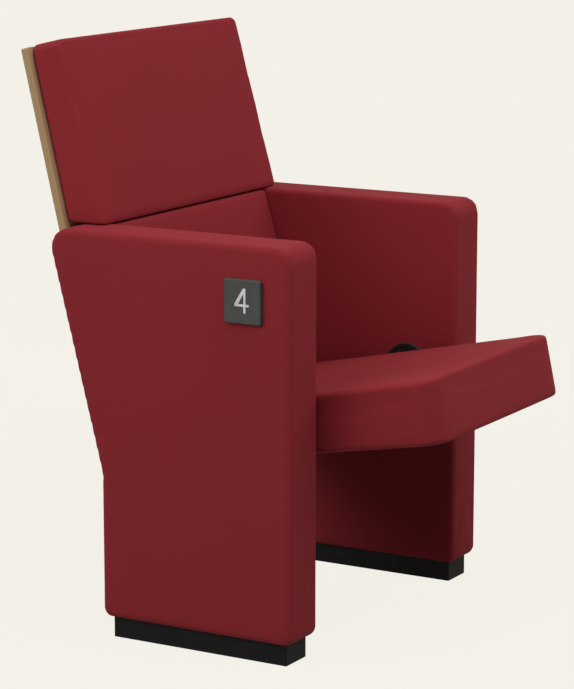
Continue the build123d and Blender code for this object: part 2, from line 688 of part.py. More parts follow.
def both_sides(shape):
    return [shape, mirror(shape, about=Plane.YZ)]


def pin_holes(radius):
    return both_sides(rod(radius, SEAT_PLATE_X - PAST, SEAT_SIDE_X + PAST))


def underside_opening(margin, z_from, z_to):
    """The opening in the cover's bottom for the underside board, wider by margin."""
    half = SEAT_SIDE_X - UNDERSIDE_MARGIN + margin
    front = -SEAT_FRONT_REACH + UNDERSIDE_MARGIN - margin
    rear = SEAT_REAR_REACH - UNDERSIDE_MARGIN + margin
    block = box_between((-half, half), (front, rear), (z_from, z_to))
    return fillet(block.edges().filter_by(Axis.Z), UNDERSIDE_CORNER + margin)


def seat_cover():
    cover = seat_form(0) - seat_form(FABRIC)
    cover -= underside_opening(UNDERSIDE_CLEARANCE, -SEAT_DEEP, -SEAT_REAR_THICKNESS / 2)
    return SEAT_PLACE * (cover - pin_holes(PIN_HOLE_RADIUS))


def seat_foam():
    foam = seat_form(FABRIC) - seat_core(0, -SEAT_DEEP, BOARD_TOP_W)
    foam -= both_sides(hinge_pocket(SEAT_CLEARANCE))
    return SEAT_PLACE * (foam - pin_holes(PIN_HOLE_RADIUS))


def seat_board():
    board = seat_core(SEAT_CLEARANCE, BOARD_TOP_W - SEAT_BOARD, BOARD_TOP_W)
    plate_half = SEAT_PLATE_X - SEAT_PLATE - SEAT_CLEARANCE
    front = -SEAT_FRONT_REACH + SEAT_PLATE_FRONT_MARGIN - SEAT_CLEARANCE
    rear = SEAT_REAR_REACH - SEAT_PLATE_FRONT_MARGIN / 2 + SEAT_CLEARANCE
    side_slot = box_between((plate_half, SEAT_SIDE_X), (front, rear), (-SEAT_DEEP, SEAT_DEEP))
    board -= both_sides(side_slot)
    board -= both_sides(hinge_pocket(SEAT_CLEARANCE))
    for x, y in seat_screw_points():
        board -= Pos(x, y, BOARD_TOP_W) * seat_screw_form(0.0)
    return SEAT_PLACE * board


def channel_positions():
    """The seat frame's cross channels, front to back."""
    front = -SEAT_FRONT_REACH + SEAT_PLATE_FRONT_MARGIN + SEAT_CHANNEL
    rear = SEAT_REAR_REACH - SEAT_PLATE_FRONT_MARGIN / 2 - SEAT_CHANNEL
    return (front, (front + rear) / 2, rear)


def seat_screw_points():
    across = SEAT_PLATE_X * SEAT_SCREW_SPREAD
    return [(x, y) for y in channel_positions() for x in (-across, across)]


def seat_screw_form(recess):
    """A countersunk screw pointing down, its head flush at Z = 0.

    A recess of 0 gives the space the screw takes.
    """
    length = SEAT_BOARD + SEAT_CHANNEL_WALL + SEAT_SCREW_PAST
    shank = Pos(0, 0, -(length + SEAT_SCREW_HEAD) / 2) * Cylinder(SEAT_SCREW_RADIUS, length - SEAT_SCREW_HEAD)
    head = Pos(0, 0, -SEAT_SCREW_HEAD / 2) * Cone(SEAT_SCREW_RADIUS, SEAT_SCREW_HEAD_RADIUS, SEAT_SCREW_HEAD)
    screw = head + shank
    if recess:
        screw -= Cylinder(recess, SEAT_SCREW_HEAD)
    return screw


def seat_board_screws():
    screws = [
        Pos(x, y, BOARD_TOP_W) * seat_screw_form(SEAT_SCREW_RADIUS / 2) for x, y in seat_screw_points()
    ]
    return SEAT_PLACE * Compound(screws)


def seat_frame():
    top = BOARD_TOP_W - SEAT_BOARD
    front = -SEAT_FRONT_REACH + SEAT_PLATE_FRONT_MARGIN
    rear = SEAT_REAR_REACH - SEAT_PLATE_FRONT_MARGIN / 2
    inner = SEAT_PLATE_X - SEAT_PLATE
    plate = box_between((inner, SEAT_PLATE_X), (front, rear), (BOARD_TOP_W - SEAT_PLATE_HEIGHT, BOARD_TOP_W))
    plate += rod(HINGE_TUBE_RADIUS, inner, SEAT_PLATE_X)
    plate += rod(HINGE_TUBE_RADIUS, pin_inner_x(), inner)
    plate -= rod(PIN_RADIUS, pin_inner_x() - PAST, SEAT_PLATE_X + PAST)
    plate -= Pos(lock_pin_x(), 0, 0) * Cylinder(LOCK_PIN_RADIUS, 4 * HINGE_TUBE_RADIUS)
    frame = plate + mirror(plate, about=Plane.YZ)
    for y in channel_positions():
        half = SEAT_CHANNEL / 2
        channel = box_between((-inner - PAST, inner + PAST), (y - half, y + half), (top - SEAT_CHANNEL, top))
        groove = box_between(
            (-inner, inner),
            (y - half + SEAT_CHANNEL_WALL, y + half - SEAT_CHANNEL_WALL),
            (top - SEAT_CHANNEL - PAST, top - SEAT_CHANNEL_WALL),
        )
        frame += channel - groove
    for x, y in seat_screw_points():
        frame -= Pos(x, y, top) * Cylinder(SEAT_SCREW_RADIUS, 4 * SEAT_CHANNEL_WALL)
    return SEAT_PLACE * frame


def underside_slab(low, high, margin):
    """A slab along the sloping underside, from low to high above it."""
    reach = SEAT_SIDE_X
    bottom_front, bottom_rear = seat_bottom(-SEAT_FRONT_REACH), seat_bottom(SEAT_REAR_REACH)
    corners = [
        (-SEAT_FRONT_REACH, bottom_front + low),
        (SEAT_REAR_REACH, bottom_rear + low),
        (SEAT_REAR_REACH, bottom_rear + high),
        (-SEAT_FRONT_REACH, bottom_front + high),
    ]
    slab = extrude(Plane.YZ * make_face(Polyline(*corners, close=True)), reach, both=True)
    return slab & underside_opening(margin, -SEAT_DEEP, 0)


def underside_board():
    return SEAT_PLACE * underside_slab(FABRIC, FABRIC + UNDERSIDE_BOARD, -FABRIC)


def underside_cover():
    skin = underside_slab(0, FABRIC + UNDERSIDE_BOARD, 0)
    return SEAT_PLACE * (skin - underside_slab(FABRIC, FABRIC + UNDERSIDE_BOARD + PAST, -FABRIC))


def underside_clips():
    """Posts from the frame's channels down to the underside board, cut to its slope."""
    top = BOARD_TOP_W - SEAT_BOARD - SEAT_CHANNEL_WALL
    below = underside_slab(-SEAT_CHANNEL, FABRIC + UNDERSIDE_BOARD, 0)
    clips = []
    for x, y in seat_screw_points():
        low = seat_bottom(y)
        clip = Pos(x * CLIP_SPREAD, y, (low + top) / 2) * Cylinder(CLIP_RADIUS, top - low)
        clips.append(clip - below)
    return SEAT_PLACE * Compound(clips)


# ---------------------------------------------------------------- back, drawn on the board's front face
def back_box(half, low, high, near, far):
    return box_between((-half, half), (low, high), (near, far))


def level_end(gap, thickness):
    """Where a cushion's end lies along the board if it is level: at the board, and at its front."""
    recline = math.radians(BACK_RECLINE)
    start = gap / math.cos(recline)
    return start, start - thickness * math.tan(recline)


def cushion_crown(half, low, high):
    """A solid under the crowned front: low and high are the front's ends, as (along, off the board)."""
    length = math.hypot(high[0] - low[0], high[1] - low[1])
    arc = ThreePointArc((-half, -CUSHION_CROWN), (0, 0), (half, -CUSHION_CROWN))
    floor = Polyline((half, -CUSHION_CROWN), (half, -length), (-half, -length), (-half, -CUSHION_CROWN))
    slope = math.degrees(math.atan2(low[1] - high[1], high[0] - low[0]))
    place = Pos(0, (low[0] + high[0]) / 2, (low[1] + high[1]) / 2) * Rot(-slope, 0, 0)
    return place * extrude(Plane.XZ * make_face(arc + floor), 2 * length, both=True)


def shell_radius(radius, inset):
    return max(radius - inset, LEAST_RADIUS)


def through_edges(pad):
    """The edges of a cushion that run from the board to its front."""
    return pad.edges().filter_by(lambda edge: abs((edge % 0.5).Z) > abs((edge % 0.5).Y) + abs((edge % 0.5).X))


def cushion_form(half, low_end, high_end, thicknesses, inset):
    """A back cushion on the board's front face: a tapered pad with a crowned front.

    Each end is given along the board as (at the board, at its front).
    """
    low_thickness, high_thickness = thicknesses
    corners = [
        (low_end[0], 0), (high_end[0], 0), (high_end[1], high_thickness), (low_end[1], low_thickness)
    ]
    corners = inset_polygon(corners, inset)
    pad = extrude(Plane.YZ * make_face(Polyline(*corners, close=True)), half - inset, both=True)
    pad = pad & cushion_crown(half - inset, corners[3], corners[2])
    front = pad.faces().sort_by(Axis.Z)[-1]
    pad = fillet(through_edges(pad) + front.edges(), shell_radius(CUSHION_RADIUS, inset))
    rear = pad.faces().sort_by(Axis.Z)[0]
    return fillet(rear.edges(), shell_radius(CUSHION_REAR_RADIUS, inset))


def upper_form(inset):
    thicknesses = (UPPER_BOTTOM_THICKNESS, UPPER_TOP_THICKNESS)
    low_end = level_end(CUSHION_GAP, UPPER_BOTTOM_THICKNESS)
    return cushion_form(UPPER_WIDTH / 2, low_end, (UPPER_RISE, UPPER_RISE), thicknesses, inset)


def lower_form(inset):
    thicknesses = (LOWER_BOTTOM_THICKNESS, LOWER_TOP_THICKNESS)
    high_end = level_end(-CUSHION_GAP, LOWER_TOP_THICKNESS)
    return cushion_form(NARROW_HALF, (-LOWER_DROP, -LOWER_DROP), high_end, thicknesses, inset)


def backing_box(half, low, high):
    margin = BACKING_MARGIN
    return back_box(half - margin, low + margin, high - margin, BACKING_REAR, BACKING_REAR + BACKING)


def upper_backing_box():
    return backing_box(UPPER_WIDTH / 2, CUSHION_GAP, UPPER_RISE)


def lower_backing_box():
    half = NARROW_HALF - BRACKET_LEG - BRACKET_SHEET
    return backing_box(half, -LOWER_DROP, -CUSHION_GAP)


def bracket_spaces(margin):
    """The pockets in the lower cushion for the two back brackets."""
    inner = NARROW_HALF - BRACKET_LEG - margin
    low, high = BRACKET_TOP - BRACKET_HEIGHT - margin, BRACKET_TOP + margin
    depth = BRACKET_LEG + BRACKET_BOLT_HEAD_RADIUS + margin
    pocket = box_between((inner, INNER_X + PAST), (low, high), (-PAST, depth))
    return both_sides(pocket)


def backboard():
    board = back_box(BACK_WIDTH / 2, -BACKBOARD_DROP, BACKBOARD_RISE, -BACKBOARD, 0)
    for sign in (-1, 1):
        low, high = sorted((sign * NARROW_HALF, sign * BACK_WIDTH))
        board -= box_between(
            (low, high), (-BACKBOARD_DROP - PAST, -BACKBOARD_SHOULDER), (-BACKBOARD - PAST, PAST)
        )
    board = fillet(board.edges().filter_by(Axis.Z), BACKBOARD_CORNER)
    for x, y in cushion_screw_points():
        board -= Pos(x, y, -BACKBOARD / 2) * Cylinder(CUSHION_SCREW_RADIUS, BACKBOARD + 2 * PAST)
    for x, y in board_bolt_points():
        board -= Pos(x, y, -BACKBOARD / 2) * Cylinder(BRACKET_BOLT_RADIUS, BACKBOARD + 2 * PAST)
    board = BACK * board
    return board - both_sides(side_form(-SEAT_CLEARANCE))


def cushion_screw_points():
    """Where the screws through the board hold the two cushions, on the board."""
    margin = CUSHION_SCREW_MARGIN
    upper = [(x, y) for x in (-UPPER_SCREW_X, 0, UPPER_SCREW_X) for y in (margin, UPPER_RISE - margin)]
    lower = [(x, y) for x in (-LOWER_SCREW_X, LOWER_SCREW_X) for y in (-LOWER_DROP + margin, -margin)]
    return upper + lower


def board_bolt_points():
    """Where the back brackets bolt to the board, on the board."""
    middle = BRACKET_TOP - BRACKET_HEIGHT / 2
    across = NARROW_HALF - BRACKET_LEG / 2
    half = BRACKET_BOLT_SPACING / 2
    return [(sx * across, middle + sy * half) for sx in (-1, 1) for sy in (-1, 1)]


def cushion_screws():
    screws = []
    for x, y in cushion_screw_points():
        head = Pos(0, 0, -BACKBOARD - CUSHION_SCREW_HEAD / 2) * Cylinder(
            CUSHION_SCREW_HEAD_RADIUS, CUSHION_SCREW_HEAD
        )
        head = fillet(head.edges().sort_by(Axis.Z)[0], CUSHION_SCREW_HEAD / 2)
        length = BACKBOARD + BACKING_REAR + BACKING
        shank = Pos(0, 0, length / 2 - BACKBOARD) * Cylinder(CUSHION_SCREW_RADIUS, length)
        recess = Pos(0, 0, -BACKBOARD - CUSHION_SCREW_HEAD) * Cylinder(
            CUSHION_SCREW_RADIUS / 2, CUSHION_SCREW_HEAD
        )
        screws.append(Pos(x, y, 0) * (head + shank - recess))
    return BACK * Compound(screws)


def cushion_nuts():
    """Threaded barrels pressed in the cushions' ply backings."""
    nuts = []
    for x, y in cushion_screw_points():
        barrel = Cylinder(CUSHION_NUT_RADIUS, BACKING) - Cylinder(CUSHION_SCREW_RADIUS, BACKING + 2 * PAST)
        nuts.append(Pos(x, y, BACKING_REAR + BACKING / 2) * barrel)
    return BACK * Compound(nuts)


def screw_holes(shape, radius):
    for x, y in cushion_screw_points():
        shape -= Pos(x, y, 0) * Cylinder(radius, 2 * (BACKING_REAR + BACKING))
    return shape


def upper_cover():
    cover = upper_form(SEAT_CLEARANCE) - upper_form(SEAT_CLEARANCE + FABRIC)
    return BACK * screw_holes(cover, CUSHION_SCREW_RADIUS)


def upper_foam():
    return BACK * (upper_form(SEAT_CLEARANCE + FABRIC) - upper_backing_box())


def lower_cover():
    cover = lower_form(SEAT_CLEARANCE) - lower_form(SEAT_CLEARANCE + FABRIC)
    cover -= bracket_spaces(SEAT_CLEARANCE)
    return BACK * screw_holes(cover, CUSHION_SCREW_RADIUS)


def lower_foam():
    foam = lower_form(SEAT_CLEARANCE + FABRIC) - lower_backing_box()
    return BACK * (foam - bracket_spaces(SEAT_CLEARANCE))


def backing(shape):
    return BACK * screw_holes(shape, CUSHION_NUT_RADIUS)


def back_bracket():
    """The left bracket: one leg on the board, one on the side panel's inner face."""
    low, high = BRACKET_TOP - BRACKET_HEIGHT, BRACKET_TOP
    board_leg = box_between((INNER_X - BRACKET_LEG, INNER_X), (low, high), (0, BRACKET_SHEET))
    side_leg = box_between((INNER_X - BRACKET_SHEET, INNER_X), (low, high), (0, BRACKET_LEG))
    bracket = board_leg + side_leg
    for x, y in board_bolt_points():
        if x > 0:
            bracket -= Pos(x, y, 0) * Cylinder(BRACKET_BOLT_RADIUS, 4 * BRACKET_SHEET)
    bracket = BACK * bracket
    for y, z in boss_points():
        bracket -= at(y, z, rod(BRACKET_BOLT_RADIUS, INNER_X - 3 * BRACKET_SHEET, INNER_X + PAST))
    return bracket


def bolt_along_x(x_head, x_end):
    """A bolt along X: its head at x_head, its shank running on to x_end."""
    head = rod(BRACKET_BOLT_HEAD_RADIUS, x_head, x_head + BRACKET_BOLT_HEAD)
    socket = rod(BRACKET_BOLT_RADIUS / 2, x_head - PAST, x_head + BRACKET_BOLT_HEAD / 2)
    return head + rod(BRACKET_BOLT_RADIUS, x_head, x_end) - socket


def bracket_bolts():
    """The left bracket's bolts: two in the frame's bosses, two through the board with nuts."""
    bolts = []
    start = INNER_X - BRACKET_SHEET - BRACKET_BOLT_HEAD
    for y, z in boss_points():
        bolts.append(at(y, z, bolt_along_x(start, FRAME_INNER_X + FRAME_SHEET)))
    for x, y in board_bolt_points():
        if x > 0:
            head = Pos(0, 0, -BACKBOARD - BRACKET_BOLT_HEAD / 2) * Cylinder(
                BRACKET_BOLT_HEAD_RADIUS, BRACKET_BOLT_HEAD
            )
            head = fillet(head.edges().sort_by(Axis.Z)[0], BRACKET_BOLT_HEAD / 2)
            length = BACKBOARD + BRACKET_SHEET + BRACKET_NUT
            shank = Pos(0, 0, length / 2 - BACKBOARD) * Cylinder(BRACKET_BOLT_RADIUS, length)
            bolts.append(BACK * Pos(x, y, 0) * (head + shank))
    return Compound(bolts)


def bracket_nuts():
    nuts = []
    for x, y in board_bolt_points():
        if x > 0:
            nut = extrude(RegularPolygon(BRACKET_NUT_RADIUS, 6), BRACKET_NUT)
            nut -= Cylinder(BRACKET_BOLT_RADIUS, 4 * BRACKET_NUT)
            nuts.append(BACK * Pos(x, y, BRACKET_SHEET) * nut)
    return Compound(nuts)


# ---------------------------------------------------------------- row plate, on the right panel's outer face
PLATE_PLANE = Plane(
    origin=(-OUTER_X, FRONT_Y + PLATE_FROM_FRONT, ARM_HEIGHT - PLATE_BELOW_ARM),
    x_dir=(0, -1, 0),
    z_dir=(-1, 0, 0),
)


def plate_screw_points():
    half = PLATE_SCREW_SPACING / 2
    return [(0, -half), (0, half)]


def plate_screw():
    """A pan-head screw pointing into the panel, its head on the plate's base."""
    head = Pos(0, 0, PLATE_BASE + PLATE_SCREW_HEAD / 2) * Cylinder(PLATE_SCREW_HEAD_RADIUS, PLATE_SCREW_HEAD)
    shank = Pos(0, 0, PLATE_BASE - PLATE_SCREW_LENGTH / 2) * Cylinder(PLATE_SCREW_RADIUS, PLATE_SCREW_LENGTH)
    recess = Pos(0, 0, PLATE_BASE + PLATE_SCREW_HEAD) * Cylinder(PLATE_SCREW_RADIUS / 2, PLATE_SCREW_HEAD)
    return head + shank - recess


def row_plate_base():
    margin = 2 * PLATE_WALL + 2 * SEAT_CLEARANCE
    outline = RectangleRounded(PLATE_WIDTH - margin, PLATE_HEIGHT - margin, PLATE_CORNER / 2)
    base = extrude(outline, PLATE_BASE)
    for x, y in plate_screw_points():
        base -= Pos(x, y, 0) * Cylinder(PLATE_SCREW_RADIUS, 4 * PLATE_BASE)
    return PLATE_PLANE * base


def row_plate_face():
    face = extrude(RectangleRounded(PLATE_WIDTH, PLATE_HEIGHT, PLATE_CORNER), PLATE_THICKNESS)
    face = chamfer(face.faces().sort_by(Axis.Z)[-1].edges(), PLATE_BEVEL)
    margin = 2 * PLATE_WALL
    opening = RectangleRounded(PLATE_WIDTH - margin, PLATE_HEIGHT - margin, PLATE_CORNER / 2)
    return PLATE_PLANE * (face - extrude(opening, PLATE_THICKNESS - PLATE_WALL))


def row_plate_screws():
    return PLATE_PLANE * Compound([Pos(x, y, 0) * plate_screw() for x, y in plate_screw_points()])


def plate_screw_holes(shape):
    for x, y in plate_screw_points():
        shape -= PLATE_PLANE * Pos(x, y, 0) * Cylinder(PLATE_SCREW_RADIUS, 4 * PLATE_SCREW_LENGTH)
    return shape


def row_numeral():
    """A plain figure four in three strokes."""
    half_w, half_h, half_s = NUMERAL_WIDTH / 2, NUMERAL_HEIGHT / 2, NUMERAL_STROKE / 2
    stem_x = half_w * NUMERAL_STEM_PLACE
    bar_y = -half_h + NUMERAL_BAR_HEIGHT
    stem = Pos(stem_x, 0) * Rectangle(NUMERAL_STROKE, NUMERAL_HEIGHT)
    bar = Pos(0, bar_y) * Rectangle(NUMERAL_WIDTH, NUMERAL_STROKE)
    lean = math.atan2(half_h - bar_y, stem_x + half_w)
    across = NUMERAL_STROKE / math.sin(lean)
    slant = make_face(
        Polyline(
            (-half_w, bar_y - half_s), (-half_w + across, bar_y - half_s),
            (stem_x + half_s, half_h - half_s), (stem_x + half_s, half_h),
            (stem_x + half_s - across, half_h), (-half_w, bar_y + half_s),
            close=True,
        )
    )
    figure = stem + bar + slant
    return PLATE_PLANE * Pos(0, NUMERAL_RISE, PLATE_THICKNESS) * extrude(figure, NUMERAL_PROUD)


# ---------------------------------------------------------------- build
def build_sides():
    add_pair("side_cover", side_cover())
    add_pair("side_foam", side_foam())
    add_pair("inner_board", inner_board())
    add_pair("outer_board", outer_board())
    add_pair("side_frame", side_frame())
    add_pair("floor_channel", floor_channel())
    add_pair("foot_screws", foot_screws())
    for name in ("side_cover", "side_foam", "outer_board"):
        parts["right_" + name] = plate_screw_holes(parts["right_" + name])


def build_hinges():
    add_pair("hinge_housing", hinge_housing())
    add_pair("housing_screws", housing_screws())
    add_pair("pivot_bush", pivot_bush())
    add_pair("pivot_pin", pivot_pin())
    add_pair("pin_lock", lock_pin())
    add_pair("stop_lever", stop_lever())
    add_pair("pin_nut", pin_nut())
    add_pair("stop_buffers", stop_buffers())
    add_pair("return_spring", return_spring())


def build_seat():
    add("seat_cover", seat_cover())
    add("seat_foam", seat_foam())
    add("seat_board", seat_board())
    add("seat_board_screws", seat_board_screws())
    add("seat_frame", seat_frame())
    add("underside_board", underside_board())
    add("underside_cover", underside_cover())
    add("underside_clips", underside_clips())


def build_back():
    add("backboard", backboard())
    add("upper_back_cover", upper_cover())
    add("upper_back_foam", upper_foam())
    add("upper_back_backing", backing(upper_backing_box()))
    add("lower_back_cover", lower_cover())
    add("lower_back_foam", lower_foam())
    add("lower_back_backing", backing(lower_backing_box()))
    add("cushion_screws", cushion_screws())
    add("cushion_nuts", cushion_nuts())
    add_pair("back_bracket", back_bracket())
    add_pair("bracket_bolts", bracket_bolts())
    add_pair("bracket_nuts", bracket_nuts())


def build_row_plate():
    add("row_plate_base", row_plate_base())
    add("row_plate_screws", row_plate_screws())
    add("row_plate_face", row_plate_face())
    add("row_numeral", row_numeral())


build_sides()
build_hinges()
build_seat()
build_back()
build_row_plate()

os.makedirs("parts", exist_ok=True)
for name, shape in parts.items():
    export_step(shape, "parts/" + name + ".step")
print(len(parts), "nodes")
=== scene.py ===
# %% [markdown]
# # A tip up auditorium seat
#
# The seat stands between two fully upholstered side panels, on two black floor channels. Its back is
# a light plywood board with two cushions on it. The solids come packed, in metres, with the floor at
# zero, the sitter facing -Y and the sitter's left at +X. This lesson dresses them: new meshes stand
# for everything that is cloth over foam, and every rigid piece keeps its solid and gets a finish.

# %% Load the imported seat
import math

import bmesh
import bpy
import numpy as np
from mathutils import Matrix, Vector


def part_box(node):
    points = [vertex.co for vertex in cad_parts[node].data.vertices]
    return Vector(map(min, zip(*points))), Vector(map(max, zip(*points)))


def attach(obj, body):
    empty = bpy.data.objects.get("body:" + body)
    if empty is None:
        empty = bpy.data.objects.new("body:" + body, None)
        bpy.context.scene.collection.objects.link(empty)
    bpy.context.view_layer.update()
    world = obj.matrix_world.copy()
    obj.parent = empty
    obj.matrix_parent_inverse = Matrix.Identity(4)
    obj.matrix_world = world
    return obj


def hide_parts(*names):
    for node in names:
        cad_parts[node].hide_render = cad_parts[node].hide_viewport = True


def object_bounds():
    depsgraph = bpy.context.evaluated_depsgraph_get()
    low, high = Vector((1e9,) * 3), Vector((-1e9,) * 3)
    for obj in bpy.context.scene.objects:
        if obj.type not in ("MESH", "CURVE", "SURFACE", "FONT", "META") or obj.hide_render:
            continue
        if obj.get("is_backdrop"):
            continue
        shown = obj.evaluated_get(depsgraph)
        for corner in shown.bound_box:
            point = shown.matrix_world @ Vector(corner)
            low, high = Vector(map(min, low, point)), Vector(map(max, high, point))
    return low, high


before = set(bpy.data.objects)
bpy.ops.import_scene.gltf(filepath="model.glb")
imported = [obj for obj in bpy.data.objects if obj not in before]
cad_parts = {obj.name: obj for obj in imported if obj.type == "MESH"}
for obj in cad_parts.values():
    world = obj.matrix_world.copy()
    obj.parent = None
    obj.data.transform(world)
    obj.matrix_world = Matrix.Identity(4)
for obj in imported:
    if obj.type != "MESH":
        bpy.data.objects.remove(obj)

MM = 0.001
scene = bpy.context.scene
cad_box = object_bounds()
print("solids:", len(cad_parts), "height:", round(cad_box[1].z, 4))

# %% [markdown]
# ## Camera
#
# The photograph was taken from in front of the seat, on the sitter's right, a little above the arms,
# with a long lens: the panels' edges are nearly parallel. The camera could be placed by eye, but the
# place, direction and lens below were worked out from the edges of the panels, so they are set as
# numbers. There is no shift and no depth of field, so that any other view works the same way.

# %% Set the camera
CAMERA_PLACE = (-3.8400, -2.2064, 1.3049)
CAMERA_YAW = math.radians(30.08)         # from +X towards +Y
CAMERA_PITCH = math.radians(11.10)       # below level
LENS = 145.14

camera = bpy.data.objects.new("photo_camera", bpy.data.cameras.new("photo_camera"))
scene.collection.objects.link(camera)
camera.data.lens = LENS
camera.data.sensor_width = 36.0
camera.location = CAMERA_PLACE
level = math.cos(CAMERA_PITCH)
look = Vector((level * math.cos(CAMERA_YAW), level * math.sin(CAMERA_YAW), -math.sin(CAMERA_PITCH)))
camera.rotation_euler = look.to_track_quat("-Z", "Y").to_euler()
scene.camera = camera
scene.view_settings.view_transform = "Standard"
print("camera looks along", [round(x, 3) for x in look])

# %% [markdown]
# ## Small helpers for nodes
#
# Every finish here is a network of shader nodes. Making a node, setting its sockets and linking it
# takes several lines each time, so one helper does it: a value that is itself a socket is linked, and
# any other value is set. Colours are written as they look on a screen and turned into the linear
# values that shaders work in.


# %% Helpers for colours and nodes
def seen(red, green, blue):
    """A colour as a screen shows it, 0 to 255 a channel, in a shader's linear values."""
    shares = [value / 255 for value in (red, green, blue)]
    return (*[s / 12.92 if s <= 0.04045 else ((s + 0.055) / 1.055) ** 2.4 for s in shares], 1.0)


def node(tree, kind, inputs=None, **settings):
    """A new node: inputs are its sockets by name or number, a value or a socket to link."""
    made = tree.nodes.new(kind)
    for name, value in settings.items():
        setattr(made, name, value)
    for name, value in (inputs or {}).items():
        if isinstance(value, bpy.types.NodeSocket):
            tree.links.new(value, made.inputs[name])
        else:
            made.inputs[name].default_value = value
    return made


def math_node(tree, operation, *values):
    """The result of one sum on values or sockets."""
    return node(tree, "ShaderNodeMath", dict(enumerate(values)), operation=operation).outputs[0]


def mixed(tree, share, first, second):
    """A colour between first and second."""
    return node(tree, "ShaderNodeMix", {0: share, 6: first, 7: second}, data_type="RGBA").outputs[2]


def ranged(tree, value, low, high, to_low=0.0, to_high=1.0, kind="LINEAR"):
    """A value's place between low and high, as a place between to_low and to_high."""
    sockets = {0: value, 1: low, 2: high, 3: to_low, 4: to_high}
    return node(tree, "ShaderNodeMapRange", sockets, interpolation_type=kind, clamp=True).outputs[0]


def noise(tree, place, per_metre, detail, **more):
    """Smooth noise with about per_metre waves to a metre; more sets its other sockets."""
    inputs = {"Vector": place, "Scale": per_metre, "Detail": detail, **more}
    return node(tree, "ShaderNodeTexNoise", inputs).outputs["Fac"]


print("half bright on a screen is", round(seen(128, 128, 128)[0], 3), "in linear values")

# %% [markdown]
# ## Backdrop, floor and light
#
# The seat was photographed on a plain warm white ground with hardly any shadow. Turning the lamps up
# until the floor goes white would wash out the cloth, so the light stays at a plain level and only
# what the camera sees of the backdrop is set: for camera, glossy and transmission rays the world is
# the ground's colour at strength 1. Most of the floor's colour is set in the same way, and a small
# part of it is lit, so that the seat's soft shadow still lies on it. The lit part is darker than the
# ground, so the set part is lifted to make up for it. Further out the floor fades into the backdrop.

# %% The backdrop
GROUND = seen(243, 240, 232)
SKY_COLOUR = seen(255, 252, 247)
SKY_LIGHT = 0.20


def ray_is_seen(tree):
    """1 for rays that show the backdrop itself, 0 for rays that carry its light."""
    path = node(tree, "ShaderNodeLightPath")
    either = math_node(tree, "MAXIMUM", path.outputs["Is Camera Ray"], path.outputs["Is Glossy Ray"])
    return math_node(tree, "MAXIMUM", either, path.outputs["Is Transmission Ray"])


world = bpy.data.worlds.new("studio")
world.use_nodes = True
scene.world = world
tree = world.node_tree
tree.nodes.clear()
lit = node(tree, "ShaderNodeBackground", {"Color": SKY_COLOUR, "Strength": SKY_LIGHT})
shown = node(tree, "ShaderNodeBackground", {"Color": GROUND, "Strength": 1.0})
seen_or_lit = {0: ray_is_seen(tree), 1: lit.outputs[0], 2: shown.outputs[0]}
both = node(tree, "ShaderNodeMixShader", seen_or_lit)
node(tree, "ShaderNodeOutputWorld", {"Surface": both.outputs[0]})
print("world light:", SKY_LIGHT)

# %% The floor
FLOOR_RADIUS = 6.0
FLOOR_FADE = (1.2, 2.6)                  # metres from the middle, where the lit part fades out
FLOOR_LIT_SHARE = 0.15
FLOOR_MATT = seen(140, 138, 133)         # the lit part's colour
FLOOR_LIFT = 0.98                        # makes up for the lit part being darker than the ground

mesh = bmesh.new()
bmesh.ops.create_circle(mesh, cap_ends=True, segments=96, radius=FLOOR_RADIUS)
data = bpy.data.meshes.new("floor")
mesh.to_mesh(data)
mesh.free()
floor = bpy.data.objects.new("floor", data)
scene.collection.objects.link(floor)
floor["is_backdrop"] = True

paper = bpy.data.materials.new("warm_white_paper")
paper.use_nodes = True
tree = paper.node_tree
tree.nodes.clear()
place = node(tree, "ShaderNodeTexCoord").outputs["Object"]
away = node(tree, "ShaderNodeVectorMath", {0: place}, operation="LENGTH").outputs["Value"]
set_share = 1 - FLOOR_LIT_SHARE
plain = ranged(tree, away, *FLOOR_FADE, set_share, 1.0, "SMOOTHSTEP")
share = math_node(tree, "MULTIPLY", plain, ray_is_seen(tree))
matt = node(tree, "ShaderNodeBsdfDiffuse", {"Color": FLOOR_MATT})
lift = ranged(tree, plain, set_share, 1.0, 1 + FLOOR_LIFT * FLOOR_LIT_SHARE, 1.0)
glow = node(tree, "ShaderNodeEmission", {"Color": GROUND, "Strength": lift})
both = node(tree, "ShaderNodeMixShader", {0: share, 1: matt.outputs[0], 2: glow.outputs[0]})
node(tree, "ShaderNodeOutputMaterial", {"Surface": both.outputs[0]})
floor.data.materials.append(paper)
print("floor radius:", FLOOR_RADIUS)

# %% [markdown]
# Four large soft lamps shape the seat. The first hangs above and in front, and makes the arm tops and
# the seat the brightest parts. Two stand beside the seat on the camera's side, one a little behind it
# and one well behind, so that the panels' outer faces are lighter than their narrow fronts, and the
# near panel's soft shadow falls on the seat. The last is a weak fill in front, from the other side.
# Their levels were found by rendering each lamp alone: light adds up, so the sum that comes nearest to
# the photograph's brightness on each face can be worked out. An area lamp of power P puts about
# P / (pi d d) on a face d metres away, and a face lit by pi shows its colour as it is written.


# %% The lamps
def soft_lamp(name, place, aim, size, level):
    """An area lamp that adds level, a share of plain light, where it is aimed."""
    lamp = bpy.data.objects.new(name, bpy.data.lights.new(name, "AREA"))
    scene.collection.objects.link(lamp)
    towards = Vector(aim) - Vector(place)
    lamp.location = place
    lamp.rotation_euler = towards.to_track_quat("-Z", "Y").to_euler()
    lamp.data.shape = "DISK"
    lamp.data.size = size
    lamp.data.energy = level * (math.pi * towards.length) ** 2


